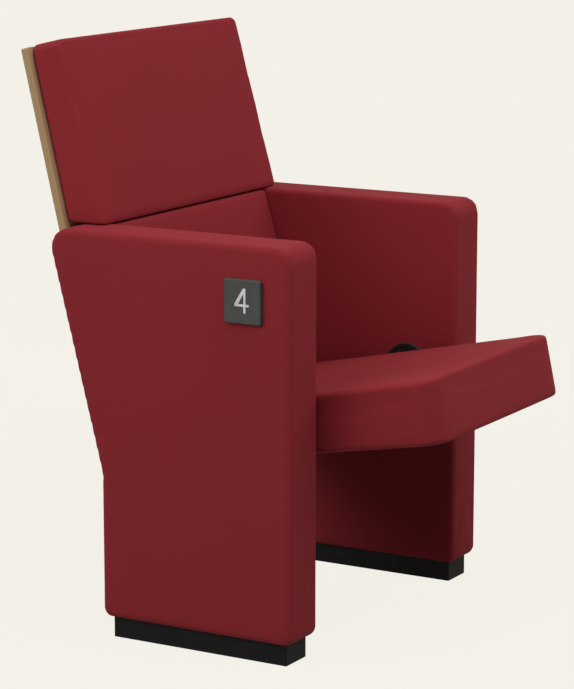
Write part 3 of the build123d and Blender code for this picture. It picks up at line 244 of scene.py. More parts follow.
SEAT_MIDDLE = (0.0, 0.0, 0.5)
soft_lamp("overhead_lamp", (-0.5, -1.3, 3.2), SEAT_MIDDLE, 2.6, 0.51)
soft_lamp("camera_side_lamp", (-3.3, 0.9, 2.2), SEAT_MIDDLE, 2.4, 0.23)
soft_lamp("lamp_behind_that", (-2.9, 2.2, 2.5), SEAT_MIDDLE, 2.2, 0.19)
soft_lamp("far_side_fill", (1.6, -2.8, 2.6), SEAT_MIDDLE, 2.2, 0.13)

# %% [markdown]
# ## Effects that several finishes share
#
# Weave, grain, worn edges and dust turn up in more than one material. Each is a node group with named
# inputs and outputs, built once here. A group only puts out masks, shades and heights. The shader
# itself stays in each material, with its plain numbers set on its own sockets.


# %% Helpers for groups
def new_group(name, takes, gives):
    """An empty group: takes and gives list its sockets as (name, kind, start value)."""
    tree = bpy.data.node_groups.new(name, "ShaderNodeTree")
    for label, kind, start in takes:
        socket = tree.interface.new_socket(name=label, in_out="INPUT", socket_type=kind)
        if start is not None:
            socket.default_value = start
    for label in gives:
        tree.interface.new_socket(name=label, in_out="OUTPUT", socket_type="NodeSocketFloat")
    return tree, tree.nodes.new("NodeGroupInput").outputs, tree.nodes.new("NodeGroupOutput").inputs


def place_group(tree, group, inputs):
    """A group placed in a material with its own values; returns its outputs."""
    return node(tree, "ShaderNodeGroup", inputs, node_tree=group).outputs


VECTOR, FLOAT = "NodeSocketVector", "NodeSocketFloat"
print("group helpers ready")

# %% [markdown]
# The cloth is a plain weave: over and under, thread by thread. A picture of a weave would need UV
# maps, which the remeshed cushions don't have. Instead the weave is worked out from the place in
# space: the product of two sines makes the chequered bumps of a plain weave in one plane, and the
# way a face looks decides which of the three planes counts. Fine noise on top gives the wool's fuzz.

# %% The weave group
FUZZ_PER_METRE = 1900.0

weave, takes, gives = new_group(
    "woven_threads",
    [("Place", VECTOR, None), ("Facing", VECTOR, None), ("Threads per metre", FLOAT, 1000.0)],
    ["Height", "Fuzz"],
)
angle = math_node(weave, "MULTIPLY", takes["Threads per metre"], math.pi)
grown = {0: takes["Place"], 3: angle}
turned = node(weave, "ShaderNodeVectorMath", grown, operation="SCALE").outputs[0]
along = node(weave, "ShaderNodeSeparateXYZ", {0: turned}).outputs
waves = [math_node(weave, "SINE", along[axis]) for axis in range(3)]
facing = node(weave, "ShaderNodeSeparateXYZ", {0: takes["Facing"]}).outputs
height = None
for axis in range(3):
    bumps = math_node(weave, "MULTIPLY", waves[(axis + 1) % 3], waves[(axis + 2) % 3])
    counts = math_node(weave, "ABSOLUTE", facing[axis])
    height = math_node(weave, "MULTIPLY_ADD", bumps, counts, height if height else 0.0)
fuzz = noise(weave, takes["Place"], FUZZ_PER_METRE, 2.0, Roughness=0.6)
lifted = ranged(weave, height, -1.0, 1.0)
weave.links.new(math_node(weave, "MULTIPLY_ADD", fuzz, 0.5, lifted), gives["Height"])
weave.links.new(fuzz, gives["Fuzz"])
print("weave group nodes:", len(weave.nodes))

# %% [markdown]
# Large pieces are never one even colour. A slow cloudiness, a few centimetres across, stands for the
# nap lying in different ways and for hands and light having worked on it.

# %% The cloudiness group
clouds, takes, gives = new_group(
    "slow_cloudiness", [("Place", VECTOR, None), ("Patches per metre", FLOAT, 9.0)], ["Shade"]
)
slow = noise(clouds, takes["Place"], takes["Patches per metre"], 3.0, Roughness=0.55)
clouds.links.new(ranged(clouds, slow, 0.3, 0.7), gives["Shade"])
print("cloudiness group nodes:", len(clouds.nodes))

# %% [markdown]
# Powder coat, moulded plastic, cast rubber and plated steel all have a fine skin, like orange peel or
# leather but far smaller. One group makes it at any size from two noises.

# %% The fine skin group
BROAD_SHARE = 0.02                       # the tone's waves to a metre, as a share of the grains'

skin, takes, gives = new_group(
    "fine_skin", [("Place", VECTOR, None), ("Grains per metre", FLOAT, 1500.0)], ["Height", "Tone"]
)
pebbles = noise(skin, takes["Place"], takes["Grains per metre"], 2.0, Roughness=0.5)
broad = math_node(skin, "MULTIPLY", takes["Grains per metre"], BROAD_SHARE)
tone = noise(skin, takes["Place"], broad, 4.0)
skin.links.new(pebbles, gives["Height"])
skin.links.new(ranged(skin, tone, 0.3, 0.7), gives["Tone"])
print("fine skin group nodes:", len(skin.nodes))

# %% [markdown]
# Shoes, cleaning and knocks rub a coat off its sharp edges first. The Bevel node gives the direction
# that a face would have if its edges were rounded. Where that differs from the true one there is an
# edge, and noise breaks the mask up, so that the wear comes in patches.

# %% The worn edges group
CHIPS_PER_METRE = 60.0

worn, takes, gives = new_group(
    "worn_edges",
    [("Place", VECTOR, None), ("Edge width", FLOAT, 0.001), ("Amount", FLOAT, 0.5)],
    ["Mask"],
)
rounded = node(worn, "ShaderNodeBevel", {"Radius": takes["Edge width"]}, samples=4).outputs[0]
normals = {0: rounded, 1: node(worn, "ShaderNodeNewGeometry").outputs["Normal"]}
alike = node(worn, "ShaderNodeVectorMath", normals, operation="DOT_PRODUCT").outputs["Value"]
edge = ranged(worn, alike, 0.995, 0.86)
patchy = noise(worn, takes["Place"], CHIPS_PER_METRE, 6.0)
chips = ranged(worn, patchy, 0.42, 0.62)
mask = math_node(worn, "MULTIPLY", edge, chips)
worn.links.new(math_node(worn, "MULTIPLY", mask, takes["Amount"]), gives["Mask"])
print("worn edges group nodes:", len(worn.nodes))

# %% [markdown]
# Dust settles on what faces up. The mask is the upward share of a face's direction, thinned by noise.

# %% The dust group
SPECKS_PER_METRE = 120.0

dust, takes, gives = new_group(
    "settled_dust",
    [("Place", VECTOR, None), ("Facing", VECTOR, None), ("Amount", FLOAT, 0.2)],
    ["Mask"],
)
up = node(dust, "ShaderNodeSeparateXYZ", {0: takes["Facing"]}).outputs[2]
lying = ranged(dust, up, 0.35, 0.95)
thin = noise(dust, takes["Place"], SPECKS_PER_METRE, 5.0)
speckled = math_node(dust, "MULTIPLY", lying, ranged(dust, thin, 0.3, 0.75))
dust.links.new(math_node(dust, "MULTIPLY", speckled, takes["Amount"]), gives["Mask"])
print("dust group nodes:", len(dust.nodes))

# %% [markdown]
# Wood grain is noise pulled out along the tree. The group takes a place whose Y runs with the grain.

# %% The wood grain group
PULLED_OUT = (1.0, 0.045, 1.0)           # waves are about 22 times as long along the grain
STREAKS_PER_METRE, PORES_PER_METRE = 70.0, 900.0

grain, takes, gives = new_group("wood_grain", [("Place", VECTOR, None)], ["Streaks", "Pores"])
pulled = {"Vector": takes["Place"], "Scale": PULLED_OUT}
long_way = node(grain, "ShaderNodeMapping", pulled).outputs[0]
streaks = noise(grain, long_way, STREAKS_PER_METRE, 6.0, Distortion=0.6)
pores = noise(grain, long_way, PORES_PER_METRE, 2.0)
grain.links.new(ranged(grain, streaks, 0.35, 0.66), gives["Streaks"])
grain.links.new(ranged(grain, pores, 0.55, 0.75), gives["Pores"])
print("wood grain group nodes:", len(grain.nodes))

# %% [markdown]
# ## The red cloth
#
# The whole seat wears one deep red, matt, tightly woven wool cloth. Velvet would show bright rims and
# leather would shine, and the photograph shows neither: only a faint lift where a face turns away, so
# the shader has high roughness and a little sheen. The seat and the back lean, so the weave is turned
# with them. Along the rounded edges the colour is a shade lighter. This is partly cloth stretched and
# rubbed there, and partly a painted highlight on the edges.


# %% The upholstery cloth
def new_material(name):
    """A material with one Principled shader; returns it, its tree and the shader's inputs."""
    made = bpy.data.materials.new(name)
    made.use_nodes = True
    return made, made.node_tree, made.node_tree.nodes["Principled BSDF"].inputs


def turned_place(tree, about_x, moved=(0.0, 0.0, 0.0)):
    """The place and the way a face looks, both turned about X; the place is then moved."""
    where = node(tree, "ShaderNodeTexCoord").outputs
    turn = (about_x, 0.0, 0.0)
    to_place = {"Vector": where["Object"], "Rotation": turn, "Location": moved}
    to_facing = {"Vector": where["Normal"], "Rotation": turn}
    place = node(tree, "ShaderNodeMapping", to_place).outputs[0]
    facing = node(tree, "ShaderNodeMapping", to_facing, vector_type="VECTOR").outputs[0]
    return place, facing


def bumped(tree, height, depth):
    """A normal whose surface rises by depth, in metres, where height is 1."""
    return node(tree, "ShaderNodeBump", {"Height": height, "Strength": 1.0, "Distance": depth}).outputs[0]


CLOTH_RED = seen(146, 41, 49)
CLOTH_LIGHT = seen(158, 51, 58)
CLOTH_DARK = seen(134, 35, 43)
CLOTH_THREADS = 1050.0                   # to a metre
CLOTH_BUMP = 0.12 * MM
CLOTH_PATCHES = 7.0                      # to a metre
CLOUDY_SHARE, FUZZY_SHARE, RUB_AND_HIGHLIGHT_SHARE = 0.30, 0.22, 0.30   # how much of each effect is shown
# Convex edges are lightened over this range of pointiness: partly rubbing, partly a painted highlight.
RUB_AND_HIGHLIGHT_FROM, RUB_AND_HIGHLIGHT_TO = 0.505, 0.56     # pointiness is 0.5 where a face is flat


def red_cloth(name, lean):
    """The upholstery cloth, its weave turned with a piece that leans by so many degrees."""
    made, tree, shader = new_material(name)
    place, facing = turned_place(tree, math.radians(lean))
    woven = {"Place": place, "Facing": facing, "Threads per metre": CLOTH_THREADS}
    threads = place_group(tree, weave, woven)
    shade = place_group(tree, clouds, {"Place": place, "Patches per metre": CLOTH_PATCHES})["Shade"]
    cloudy = math_node(tree, "MULTIPLY", shade, CLOUDY_SHARE)
    colour = mixed(tree, cloudy, CLOTH_RED, CLOTH_DARK)
    fuzzy = math_node(tree, "MULTIPLY", threads["Fuzz"], FUZZY_SHARE)
    colour = mixed(tree, fuzzy, colour, CLOTH_LIGHT)
    # Rounded edges are mixed towards the light red: partly rubbed cloth, partly a painted highlight.
    pointed = node(tree, "ShaderNodeNewGeometry").outputs["Pointiness"]
    rubbed_and_highlit = ranged(tree, pointed, RUB_AND_HIGHLIGHT_FROM, RUB_AND_HIGHLIGHT_TO, 0.0, RUB_AND_HIGHLIGHT_SHARE)
    colour = mixed(tree, rubbed_and_highlit, colour, CLOTH_LIGHT)
    tree.links.new(colour, shader["Base Color"])
    tree.links.new(ranged(tree, threads["Height"], 0.2, 1.2, 0.95, 0.82), shader["Roughness"])
    tree.links.new(bumped(tree, threads["Height"], CLOTH_BUMP), shader["Normal"])
    shader["Specular IOR Level"].default_value = 0.2
    shader["Sheen Weight"].default_value = 0.03
    shader["Sheen Roughness"].default_value = 0.45
    shader["Sheen Tint"].default_value = seen(226, 150, 148)
    return made


SEAT_TILT = 12.0                         # degrees
BACK_RECLINE = 13.5
side_cloth = red_cloth("red_cloth_upright", 0.0)
seat_cloth = red_cloth("red_cloth_on_the_seat", SEAT_TILT)
back_cloth = red_cloth("red_cloth_on_the_back", BACK_RECLINE)
print("cloths:", side_cloth.name, seat_cloth.name, back_cloth.name)

# %% [markdown]
# ## Helpers for padded pieces
#
# A padded piece starts as a flat outline whose corners are cut to arcs. It is extruded, its edges are
# rounded, and a voxel remesh gives it an even skin of small squares. The outline's corners are cut by
# a bevel of single points: an arc of radius r starts r times the tangent of half the turn away.


# %% Helpers that shape a mesh
def arc_starts(corners, radii):
    """How far from each corner of an outline its arc starts."""
    starts = []
    for i, radius in enumerate(radii):
        here = Vector(corners[i])
        before = here - Vector(corners[i - 1])
        after = Vector(corners[(i + 1) % len(corners)]) - here
        starts.append(radius * math.tan(before.angle(after) / 2))
    return starts


def outline_face(points, starts, segments=8):
    """A mesh of one flat face, each corner cut to an arc."""
    mesh = bmesh.new()
    rim = [mesh.verts.new(point) for point in points]
    mesh.faces.new(rim)
    for corner, start in zip(rim, starts):
        bmesh.ops.bevel(
            mesh, geom=[corner], offset=start, offset_type="ABSOLUTE", affect="VERTICES",
            segments=segments, profile=0.5, material=-1,
        )
    return mesh


def verts_in(geom):
    """The points among what an operator made."""
    return [item for item in geom if isinstance(item, bmesh.types.BMVert)]


def thicken(mesh, along):
    """Extrude the whole mesh along a vector, into a closed solid."""
    made = bmesh.ops.extrude_face_region(mesh, geom=mesh.faces[:])["geom"]
    bmesh.ops.translate(mesh, vec=along, verts=verts_in(made))
    bmesh.ops.recalc_face_normals(mesh, faces=mesh.faces[:])


def round_edges(mesh, edges, radius, segments=5):
    """Round some edges with arcs."""
    bmesh.ops.bevel(
        mesh, geom=edges, offset=radius, offset_type="OFFSET", affect="EDGES",
        segments=segments, profile=0.5, material=-1,
    )


NEAR = 1e-6                              # metres, for telling whether two places are the same


def edges_at(mesh, axis, place):
    """The edges that lie at one place along an axis."""
    return [e for e in mesh.edges if all(abs(v.co[axis] - place) < NEAR for v in e.verts)]


def as_piece(name, mesh, material):
    """The finished mesh as an object in the scene."""
    data = bpy.data.meshes.new(name)
    mesh.to_mesh(data)
    mesh.free()
    made = bpy.data.objects.new(name, data)
    scene.collection.objects.link(made)
    data.materials.append(material)
    return made


print("mesh helpers ready")

# %% [markdown]
# The cover is then filled out by Blender's cloth simulation: a little air pressure inside and no
# gravity, for twenty frames. On its own that would blow the cover up like a balloon, but here it is
# drawn tight over firm foam, so each point's way is capped at little more than a millimetre, softly,
# so that small moves stay and large ones level off. Foam doesn't give way at the edges as air does, so
# moves inwards are mostly left out. What is glued or stapled to a board is held still. The result is
# kept as the mesh, and one subdivision smooths it.


# %% Helpers that fill a cover out
PRESSURE = 4.0
FILL_FRAMES = 20
INWARD_SHARE = 0.25                      # how much of a move inwards is kept


def points_of(data):
    """A mesh's points as an array."""
    flat = np.empty(len(data.vertices) * 3, np.float32)
    data.vertices.foreach_get("co", flat)
    return flat.reshape(-1, 3).astype(float)


def facing_of(data):
    """The way each point of a mesh faces, as an array."""
    flat = np.empty(len(data.vertices) * 3, np.float32)
    data.vertex_normals.foreach_get("vector", flat)
    return flat.reshape(-1, 3).astype(float)


def set_points(data, points):
    """Put a mesh's points where an array says."""
    data.vertices.foreach_set("co", points.astype(np.float32).ravel())
    data.update()


def keep_result(piece):
    """Make the mesh that the modifiers give the piece's own, and drop the modifiers."""
    graph = bpy.context.evaluated_depsgraph_get()
    result = bpy.data.meshes.new_from_object(piece.evaluated_get(graph))
    piece.modifiers.clear()
    old, piece.data = piece.data, result
    bpy.data.meshes.remove(old)
    result.name = piece.name


def even_skin(piece, voxel):
    """Remesh the piece into even squares."""
    remesh = piece.modifiers.new("even_skin", "REMESH")
    remesh.mode = "VOXEL"
    remesh.voxel_size = voxel
    keep_result(piece)


def fill_out(piece, is_held, cap):
    """Let air pressure fill the cover, each point moving by less than cap."""
    before, facing = points_of(piece.data), facing_of(piece.data)
    held = piece.vertex_groups.new(name="held")
    held.add([i for i, point in enumerate(before) if is_held(point)], 1.0, "REPLACE")
    cloth = piece.modifiers.new("filling", "CLOTH")
    cloth.settings.use_pressure = True
    cloth.settings.uniform_pressure_force = PRESSURE
    cloth.settings.effector_weights.gravity = 0.0
    cloth.settings.vertex_group_mass = held.name
    cloth.settings.quality = 4
    cloth.point_cache.frame_end = FILL_FRAMES
    for moment in range(1, FILL_FRAMES + 1):
        scene.frame_set(moment)
    graph = bpy.context.evaluated_depsgraph_get()
    after = points_of(piece.evaluated_get(graph).data)
    piece.modifiers.clear()
    piece.vertex_groups.clear()
    scene.frame_set(1)
    moved = after - before
    far = np.linalg.norm(moved, axis=1, keepdims=True)
    moved *= cap / np.sqrt(far**2 + cap**2)
    inward = np.minimum((moved * facing).sum(1, keepdims=True), 0.0)
    moved -= (1 - INWARD_SHARE) * inward * facing
    set_points(piece.data, before + moved)
    print(piece.name, "points:", len(before), "furthest before the cap, mm:", round(far.max() / MM, 1))


def smooth(piece):
    """Shade the piece smooth and subdivide it once."""
    piece.data.polygons.foreach_set("use_smooth", [True] * len(piece.data.polygons))
    fine = piece.modifiers.new("fine_skin", "SUBSURF")
    fine.levels = fine.render_levels = 1


def finish_padding(piece, is_held, cap):
    """Fill the cover out, then smooth it."""
    fill_out(piece, is_held, cap)
    smooth(piece)


print("filling helpers ready")

# %% [markdown]
# ## The side panels
#
# Each panel is a steel frame between two boards, wrapped in foam and cloth: a flat slab with a knee in
# its rear edge, and an arm for its top. It could be a box with a bevel, but the outline has five
# corners of four different radii, so the outline is drawn first and extruded across. Remeshing and
# subdividing both wear a sharp edge down a little, so the outline starts a millimetre or two outside
# the solid's. Across, the slab starts a little thinner, and the filling makes its flat faces grow back.


# %% Shape one side panel
def moved_in(corners, inset):
    """A polygon whose every edge has moved inwards by inset."""
    lines = []
    for i, (ax, ay) in enumerate(corners):
        edge = Vector(corners[(i + 1) % len(corners)]) - Vector((ax, ay))
        inward = Vector((-edge.y, edge.x)).normalized()
        lines.append((inward, inward.dot(Vector((ax, ay))) + inset))
    moved = []
    for i in range(len(corners)):
        (a, c), (b, d) = lines[i - 1], lines[i]
        det = a.x * b.y - a.y * b.x
        moved.append(((c * b.y - d * a.y) / det, (a.x * d - b.x * c) / det))
    return moved


SIDE_PROUD = 1.8 * MM                    # how much larger the cover starts, in front and behind
TOP_PROUD = SIDE_PROUD / 2               # on the arm
BOTTOM_PROUD = 0.8 * MM                  # underneath
FACE_SLACK = 0.4 * MM                    # and how much thinner on each face, across
SIDE_CAP = 1.0 * MM
SIDE_EDGE = 4.8 * MM
SIDE_VOXEL = 5.2 * MM
ARM_DEPTH, BASE_DEPTH = 0.440, 0.340     # front to rear, the arm's before its corners are rounded
KNEE_Z = 0.265
BASE_ARC, KNEE_ARC, ARM_REAR_ARC, ARM_FRONT_ARC = 13 * MM, 40 * MM, 34 * MM, 25 * MM

low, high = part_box("left_side_cover")
inner_x, outer_x = low.x + FACE_SLACK, high.x - FACE_SLACK
front_y, bottom_z, arm_z = low.y, low.z, high.z
arm_rear_y = front_y + ARM_DEPTH
base_rear_y = front_y + BASE_DEPTH
solid_outline = [                        # a corner's place, and the radius of its arc
    ((front_y, bottom_z), BASE_ARC),
    ((base_rear_y, bottom_z), BASE_ARC),
    ((base_rear_y, KNEE_Z), KNEE_ARC),
    ((arm_rear_y, arm_z), ARM_REAR_ARC),
    ((front_y, arm_z), ARM_FRONT_ARC),
]
solid_corners, side_radii = zip(*solid_outline)
side_corners = [
    (y, min(max(z, bottom_z - BOTTOM_PROUD), arm_z + TOP_PROUD))
    for y, z in moved_in(solid_corners, -SIDE_PROUD)
]
side_points = [(inner_x, y, z) for y, z in side_corners]
mesh = outline_face(side_points, arc_starts(side_corners, side_radii))
thicken(mesh, (outer_x - inner_x, 0.0, 0.0))
round_edges(mesh, edges_at(mesh, 0, inner_x) + edges_at(mesh, 0, outer_x), SIDE_EDGE)
left_side = as_piece("left_side_upholstery", mesh, side_cloth)
even_skin(left_side, SIDE_VOXEL)
print("panel corners, mm:", [(round(y * 1000), round(z * 1000)) for y, z in side_corners])

# %% Fill it out, and mirror it for the right
BOTTOM_BAND = 4.0 * MM                   # what lies this near the bottom is held
finish_padding(left_side, lambda point: point[2] < bottom_z + BOTTOM_BAND, SIDE_CAP)
mesh = bmesh.new()
mesh.from_mesh(left_side.data)
bmesh.ops.scale(mesh, vec=(-1.0, 1.0, 1.0), verts=mesh.verts[:])
bmesh.ops.recalc_face_normals(mesh, faces=mesh.faces[:])
right_side = as_piece("right_side_upholstery", mesh, side_cloth)
smooth(right_side)

for side, piece in (("left", left_side), ("right", right_side)):
    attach(piece, "stand")
    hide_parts(f"{side}_side_cover", f"{side}_side_foam")
print("side panels:", left_side.name, right_side.name)

# %% [markdown]
# ## The seat
#
# The seat is an upholstered box, thicker in front, with two soft front corners, a slightly bowed front
# and a crown across its top. It is drawn level about the hinge, as it would be on a bench, and
# tilted into place at the end: the plan is cut out and extruded, the bottom is sloped, the edges are
# rounded, and only then come crown and bow, as smooth moves of the fine skin.

# %% Shape the seat
PIVOT = Vector((0.0, -0.082, 0.369))     # the hinge's axis; the sizes below are measured from it
SEAT_CAP = 1.4 * MM
SEAT_HALF = 220.0 * MM
SEAT_FRONT, SEAT_REAR = -286.5 * MM, 163.5 * MM
SEAT_TOP = 28.0 * MM
SEAT_BOTTOM_FRONT, SEAT_BOTTOM_REAR = -75.0 * MM, -59.0 * MM
SEAT_CROWN, SEAT_BOW = 2.0 * MM, 2.0 * MM
SEAT_FRONT_CORNER, SEAT_REAR_CORNER = 34.0 * MM, 25.0 * MM
SEAT_EDGE = 5.5 * MM
SEAT_VOXEL = 5.0 * MM


def seat_bottom(y):
    """The underside's height at a distance behind the hinge."""
    share = (y - SEAT_FRONT) / (SEAT_REAR - SEAT_FRONT)
    return SEAT_BOTTOM_FRONT + share * (SEAT_BOTTOM_REAR - SEAT_BOTTOM_FRONT)


def plan_corners(half, front, rear, z):
    """A rectangle's four corners at one height, from the front left round by the rear."""
    return [(half, front, z), (half, rear, z), (-half, rear, z), (-half, front, z)]


plan_arcs = [SEAT_FRONT_CORNER, SEAT_REAR_CORNER, SEAT_REAR_CORNER, SEAT_FRONT_CORNER]
mesh = outline_face(plan_corners(SEAT_HALF, SEAT_FRONT, SEAT_REAR, SEAT_TOP), plan_arcs, 10)
thicken(mesh, (0.0, 0.0, seat_bottom(0.0) - SEAT_TOP))
for vert in mesh.verts:
    if vert.co.z < 0:
        vert.co.z = seat_bottom(vert.co.y)
round_edges(mesh, edges_at(mesh, 2, SEAT_TOP), SEAT_EDGE)
low_rim = [e for e in mesh.edges if all(abs(v.co.z - seat_bottom(v.co.y)) < NEAR for v in e.verts)]
round_edges(mesh, low_rim, SEAT_EDGE)
seat = as_piece("seat_upholstery", mesh, seat_cloth)
even_skin(seat, SEAT_VOXEL)

points = points_of(seat.data)
across = (points[:, 0] / SEAT_HALF) ** 2
upward = np.clip(points[:, 2] / SEAT_TOP, 0.0, 1.0)
forward = np.clip(points[:, 1] / SEAT_FRONT, 0.0, 1.0) ** 4
points[:, 2] -= SEAT_CROWN * across * upward
points[:, 1] += SEAT_BOW * across * forward
set_points(seat.data, points)
print("seat skin points:", len(points))

# %% Fill the seat out and tilt it into place
STAPLED_BAND = 1.5 * MM                  # what lies this near the bottom is held
finish_padding(seat, lambda point: point[2] < seat_bottom(point[1]) + STAPLED_BAND, SEAT_CAP)
tilt = Matrix.Translation(PIVOT) @ Matrix.Rotation(math.radians(-SEAT_TILT), 4, "X")
seat.data.transform(tilt)
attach(seat, "seat")
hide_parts("seat_cover", "seat_foam")
points = points_of(seat.data)
print("seat box, mm:", [[round(v / MM) for v in end] for end in (points.min(0), points.max(0))])

# %% [markdown]
# ## The lining under the seat
#
# The seat's bottom is closed by a thin board with a dark lining stretched over it. It is a sheet, so
# it is made as one: the board's outline, its border turned up, the bend rounded, and a wall given to
# it at the end. Its face lies a little below the cushion's, or the two would flicker through each
# other where they lie in one plane.

# %% Shape the lining
LINING_MARGIN = 22.0 * MM
LINING_CORNER = 24.0 * MM
LINING_BEND = 2.4 * MM
LINING_TURN_UP = 6.5 * MM
LINING_WALL = 0.8 * MM
LINING_PROUD = 0.8 * MM                  # how far it lies below the cushion's bottom

half, front, rear = SEAT_HALF - LINING_MARGIN, SEAT_FRONT + LINING_MARGIN, SEAT_REAR - LINING_MARGIN
mesh = outline_face(plan_corners(half, front, rear, 0.0), [LINING_CORNER] * 4)
made = bmesh.ops.extrude_edge_only(mesh, edges=mesh.edges[:])["geom"]
bmesh.ops.translate(mesh, vec=(0.0, 0.0, LINING_TURN_UP), verts=verts_in(made))
round_edges(mesh, [e for e in edges_at(mesh, 2, 0.0) if len(e.link_faces) == 2], LINING_BEND, 4)
bmesh.ops.recalc_face_normals(mesh, faces=mesh.faces[:])
if max(mesh.faces, key=lambda face: face.calc_area()).normal.z > 0:
    bmesh.ops.reverse_faces(mesh, faces=mesh.faces[:])
bmesh.ops.solidify(mesh, geom=mesh.faces[:], thickness=LINING_WALL)
for vert in mesh.verts:
    vert.co.z += seat_bottom(vert.co.y) - LINING_PROUD
bmesh.ops.transform(mesh, matrix=tilt, verts=mesh.verts[:])
print("lining faces:", len(mesh.faces))


# %% Finish the lining
LINING_BLACK, LINT_GREY = seen(24, 23, 24), seen(52, 50, 50)
LINING_THREADS = 1700.0                  # to a metre
LINING_BUMP = 0.07 * MM
LINING_PATCHES = 12.0                    # to a metre


def black_lining():
    """Thin black lining cloth, its fine weave turned with the seat."""
    made, tree, shader = new_material("black_lining_cloth")
    place, facing = turned_place(tree, math.radians(SEAT_TILT))
    woven = {"Place": place, "Facing": facing, "Threads per metre": LINING_THREADS}
    threads = place_group(tree, weave, woven)
    shade = place_group(tree, clouds, {"Place": place, "Patches per metre": LINING_PATCHES})["Shade"]
    lint = math_node(tree, "MULTIPLY", threads["Fuzz"], shade)
    tree.links.new(mixed(tree, lint, LINING_BLACK, LINT_GREY), shader["Base Color"])
    tree.links.new(ranged(tree, threads["Height"], 0.2, 1.2, 0.9, 0.7), shader["Roughness"])
    tree.links.new(bumped(tree, threads["Height"], LINING_BUMP), shader["Normal"])
    shader["Specular IOR Level"].default_value = 0.3
    return made


lining = as_piece("underside_lining", mesh, black_lining())
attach(lining, "seat")
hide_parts("underside_cover")

# %% [markdown]
# ## The two back cushions
#
# The back is two pads on the plywood board, one above arm height and one below, a few millimetres
# apart, so that a dark joint shows between them. Both taper in thickness and both have level ends at
# the joint, while the board leans back. So each pad is drawn in the board's own frame, with Y up the
# board and Z off it: a four cornered side view, extruded across, its front and corners rounded, and
# its back edges rounded less, where the cloth is pulled over the pad's ply backing.

# %% Shape a back cushion
BOARD_ORIGIN = Vector((0.0, 0.262, 0.650))
CUSHION_CAP = 1.4 * MM
CUSHION_EDGE, CUSHION_BACK_EDGE = 3.6 * MM, 2.2 * MM
CUSHION_CROWN = 2.0 * MM                 # how far the middle stands out beyond the sides
MIDDLE_SHARE = 0.6                       # of it, given to the middle; the rest is taken off the sides
CUSHION_VOXEL = 4.3 * MM
recline = math.radians(BACK_RECLINE)
board_place = Matrix.Translation(BOARD_ORIGIN) @ Matrix.Rotation(math.pi / 2 - recline, 4, "X")


def shape_cushion(name, half, side_view, low_corner, high_corner):
    """A tapered pad; side_view is four corners as (up the board, off it), the first two at the board."""
    mesh = outline_face([(-half, y, z) for y, z in side_view], [])
    thicken(mesh, (2 * half, 0.0, 0.0))
    back = min(v.co.z for v in mesh.verts)
    through = [e for e in mesh.edges if sum(abs(v.co.z - back) < NEAR for v in e.verts) == 1]
    through.sort(key=lambda edge: sum(v.co.y for v in edge.verts))
    for edges, radius in ((through[:2], low_corner), (through[2:], high_corner)):
        round_edges(mesh, edges, radius)
    front = max(mesh.faces, key=lambda face: face.calc_center_median().z)
    round_edges(mesh, front.edges[:], CUSHION_EDGE)
    round_edges(mesh, edges_at(mesh, 2, back), CUSHION_BACK_EDGE, 3)
    made = as_piece(name, mesh, back_cloth)
    even_skin(made, CUSHION_VOXEL)
    points = points_of(made.data)
    share = np.clip((points[:, 2] - back) / (points[:, 2].max() - back), 0.0, 1.0)
    points[:, 2] += CUSHION_CROWN * share * (MIDDLE_SHARE - (points[:, 0] / half) ** 2)
    set_points(made.data, points)
    return made, back


def above_arms(point):
    """How far above the arms' level a point in the board's frame lies."""
    return point[1] * math.cos(recline) + point[2] * math.sin(recline)


print("board leans back by", BACK_RECLINE, "degrees")

# %% Make and place both cushions
CUSHION_GAP = 1.5 * MM                   # from the joint's middle to each cushion
BOARD_GAP = 0.2 * MM
UPPER_HALF, LOWER_HALF = 267.0 * MM, 231.3 * MM
UPPER_RISE, LOWER_DROP = 284.5 * MM, 312.0 * MM
UPPER_THIN, UPPER_THICK = 56 * MM, 68 * MM   # at the top, at the joint
LOWER_THIN, LOWER_THICK = 67 * MM, 82 * MM   # at the joint, at the bottom
UPPER_CORNERS = (4 * MM, 12 * MM)        # at the joint, at the top
LOWER_CORNERS = (8 * MM, 5 * MM)         # at the bottom, at the joint
GLUED_BAND = 2.5 * MM                    # what lies this near the board is held
JOINT_BAND = 3.5 * MM                    # and what lies this near the joint's middle
PANEL_BAND = 2 * MM                      # and, on the lower cushion, this near its sides

lean_tan = math.tan(recline)
joint_up = CUSHION_GAP / math.cos(recline)
upper_view = [
    (joint_up, BOARD_GAP),
    (UPPER_RISE, BOARD_GAP),
    (UPPER_RISE, UPPER_THIN),
    (joint_up - UPPER_THICK * lean_tan, UPPER_THICK),
]
lower_view = [
    (-LOWER_DROP, BOARD_GAP),
    (-joint_up, BOARD_GAP),
    (-joint_up - LOWER_THIN * lean_tan, LOWER_THIN),
    (-LOWER_DROP, LOWER_THICK),
]
for name, half, side_view, corner_arcs in (
    ("upper", UPPER_HALF, upper_view, UPPER_CORNERS),
    ("lower", LOWER_HALF, lower_view, LOWER_CORNERS),
):
    cushion, back = shape_cushion(f"{name}_back_cushion", half, side_view, *corner_arcs)

    def is_held(point):
        """Whether a point is glued to the board, or pressed against its neighbour."""
        at_board = point[2] < back + GLUED_BAND
        at_joint = abs(above_arms(point)) < JOINT_BAND
        at_panels = name == "lower" and abs(point[0]) > half - PANEL_BAND
        return at_board or at_joint or at_panels

    finish_padding(cushion, is_held, CUSHION_CAP)
    cushion.data.transform(board_place)
    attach(cushion, "stand")
    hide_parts(f"{name}_back_cover", f"{name}_back_foam")
    print(cushion.name, "points:", len(cushion.data.vertices))

# %% [markdown]
# ## The plywood backboard
#
# The board is lacquered plywood, nine thin layers glued crosswise. Its faces show long grain, and its
# edges show the layers, alternately long grain and darker end grain, with a fine glue line between.
# The layers could be cut into the mesh, but they are flush on the real board, so they are drawn from
# the depth below the front face. A Mapping node turns the place into the board's own frame, where Z is
# that depth, and the way a face looks says whether it is a face or an edge.


# %% The plywood finish
BOARD_THICKNESS = 13.0 * MM
PLIES = 9
FIBRES_PER_METRE = 800.0                 # cut fibres speckle the end grain
PORE_DEPTH = 0.06 * MM


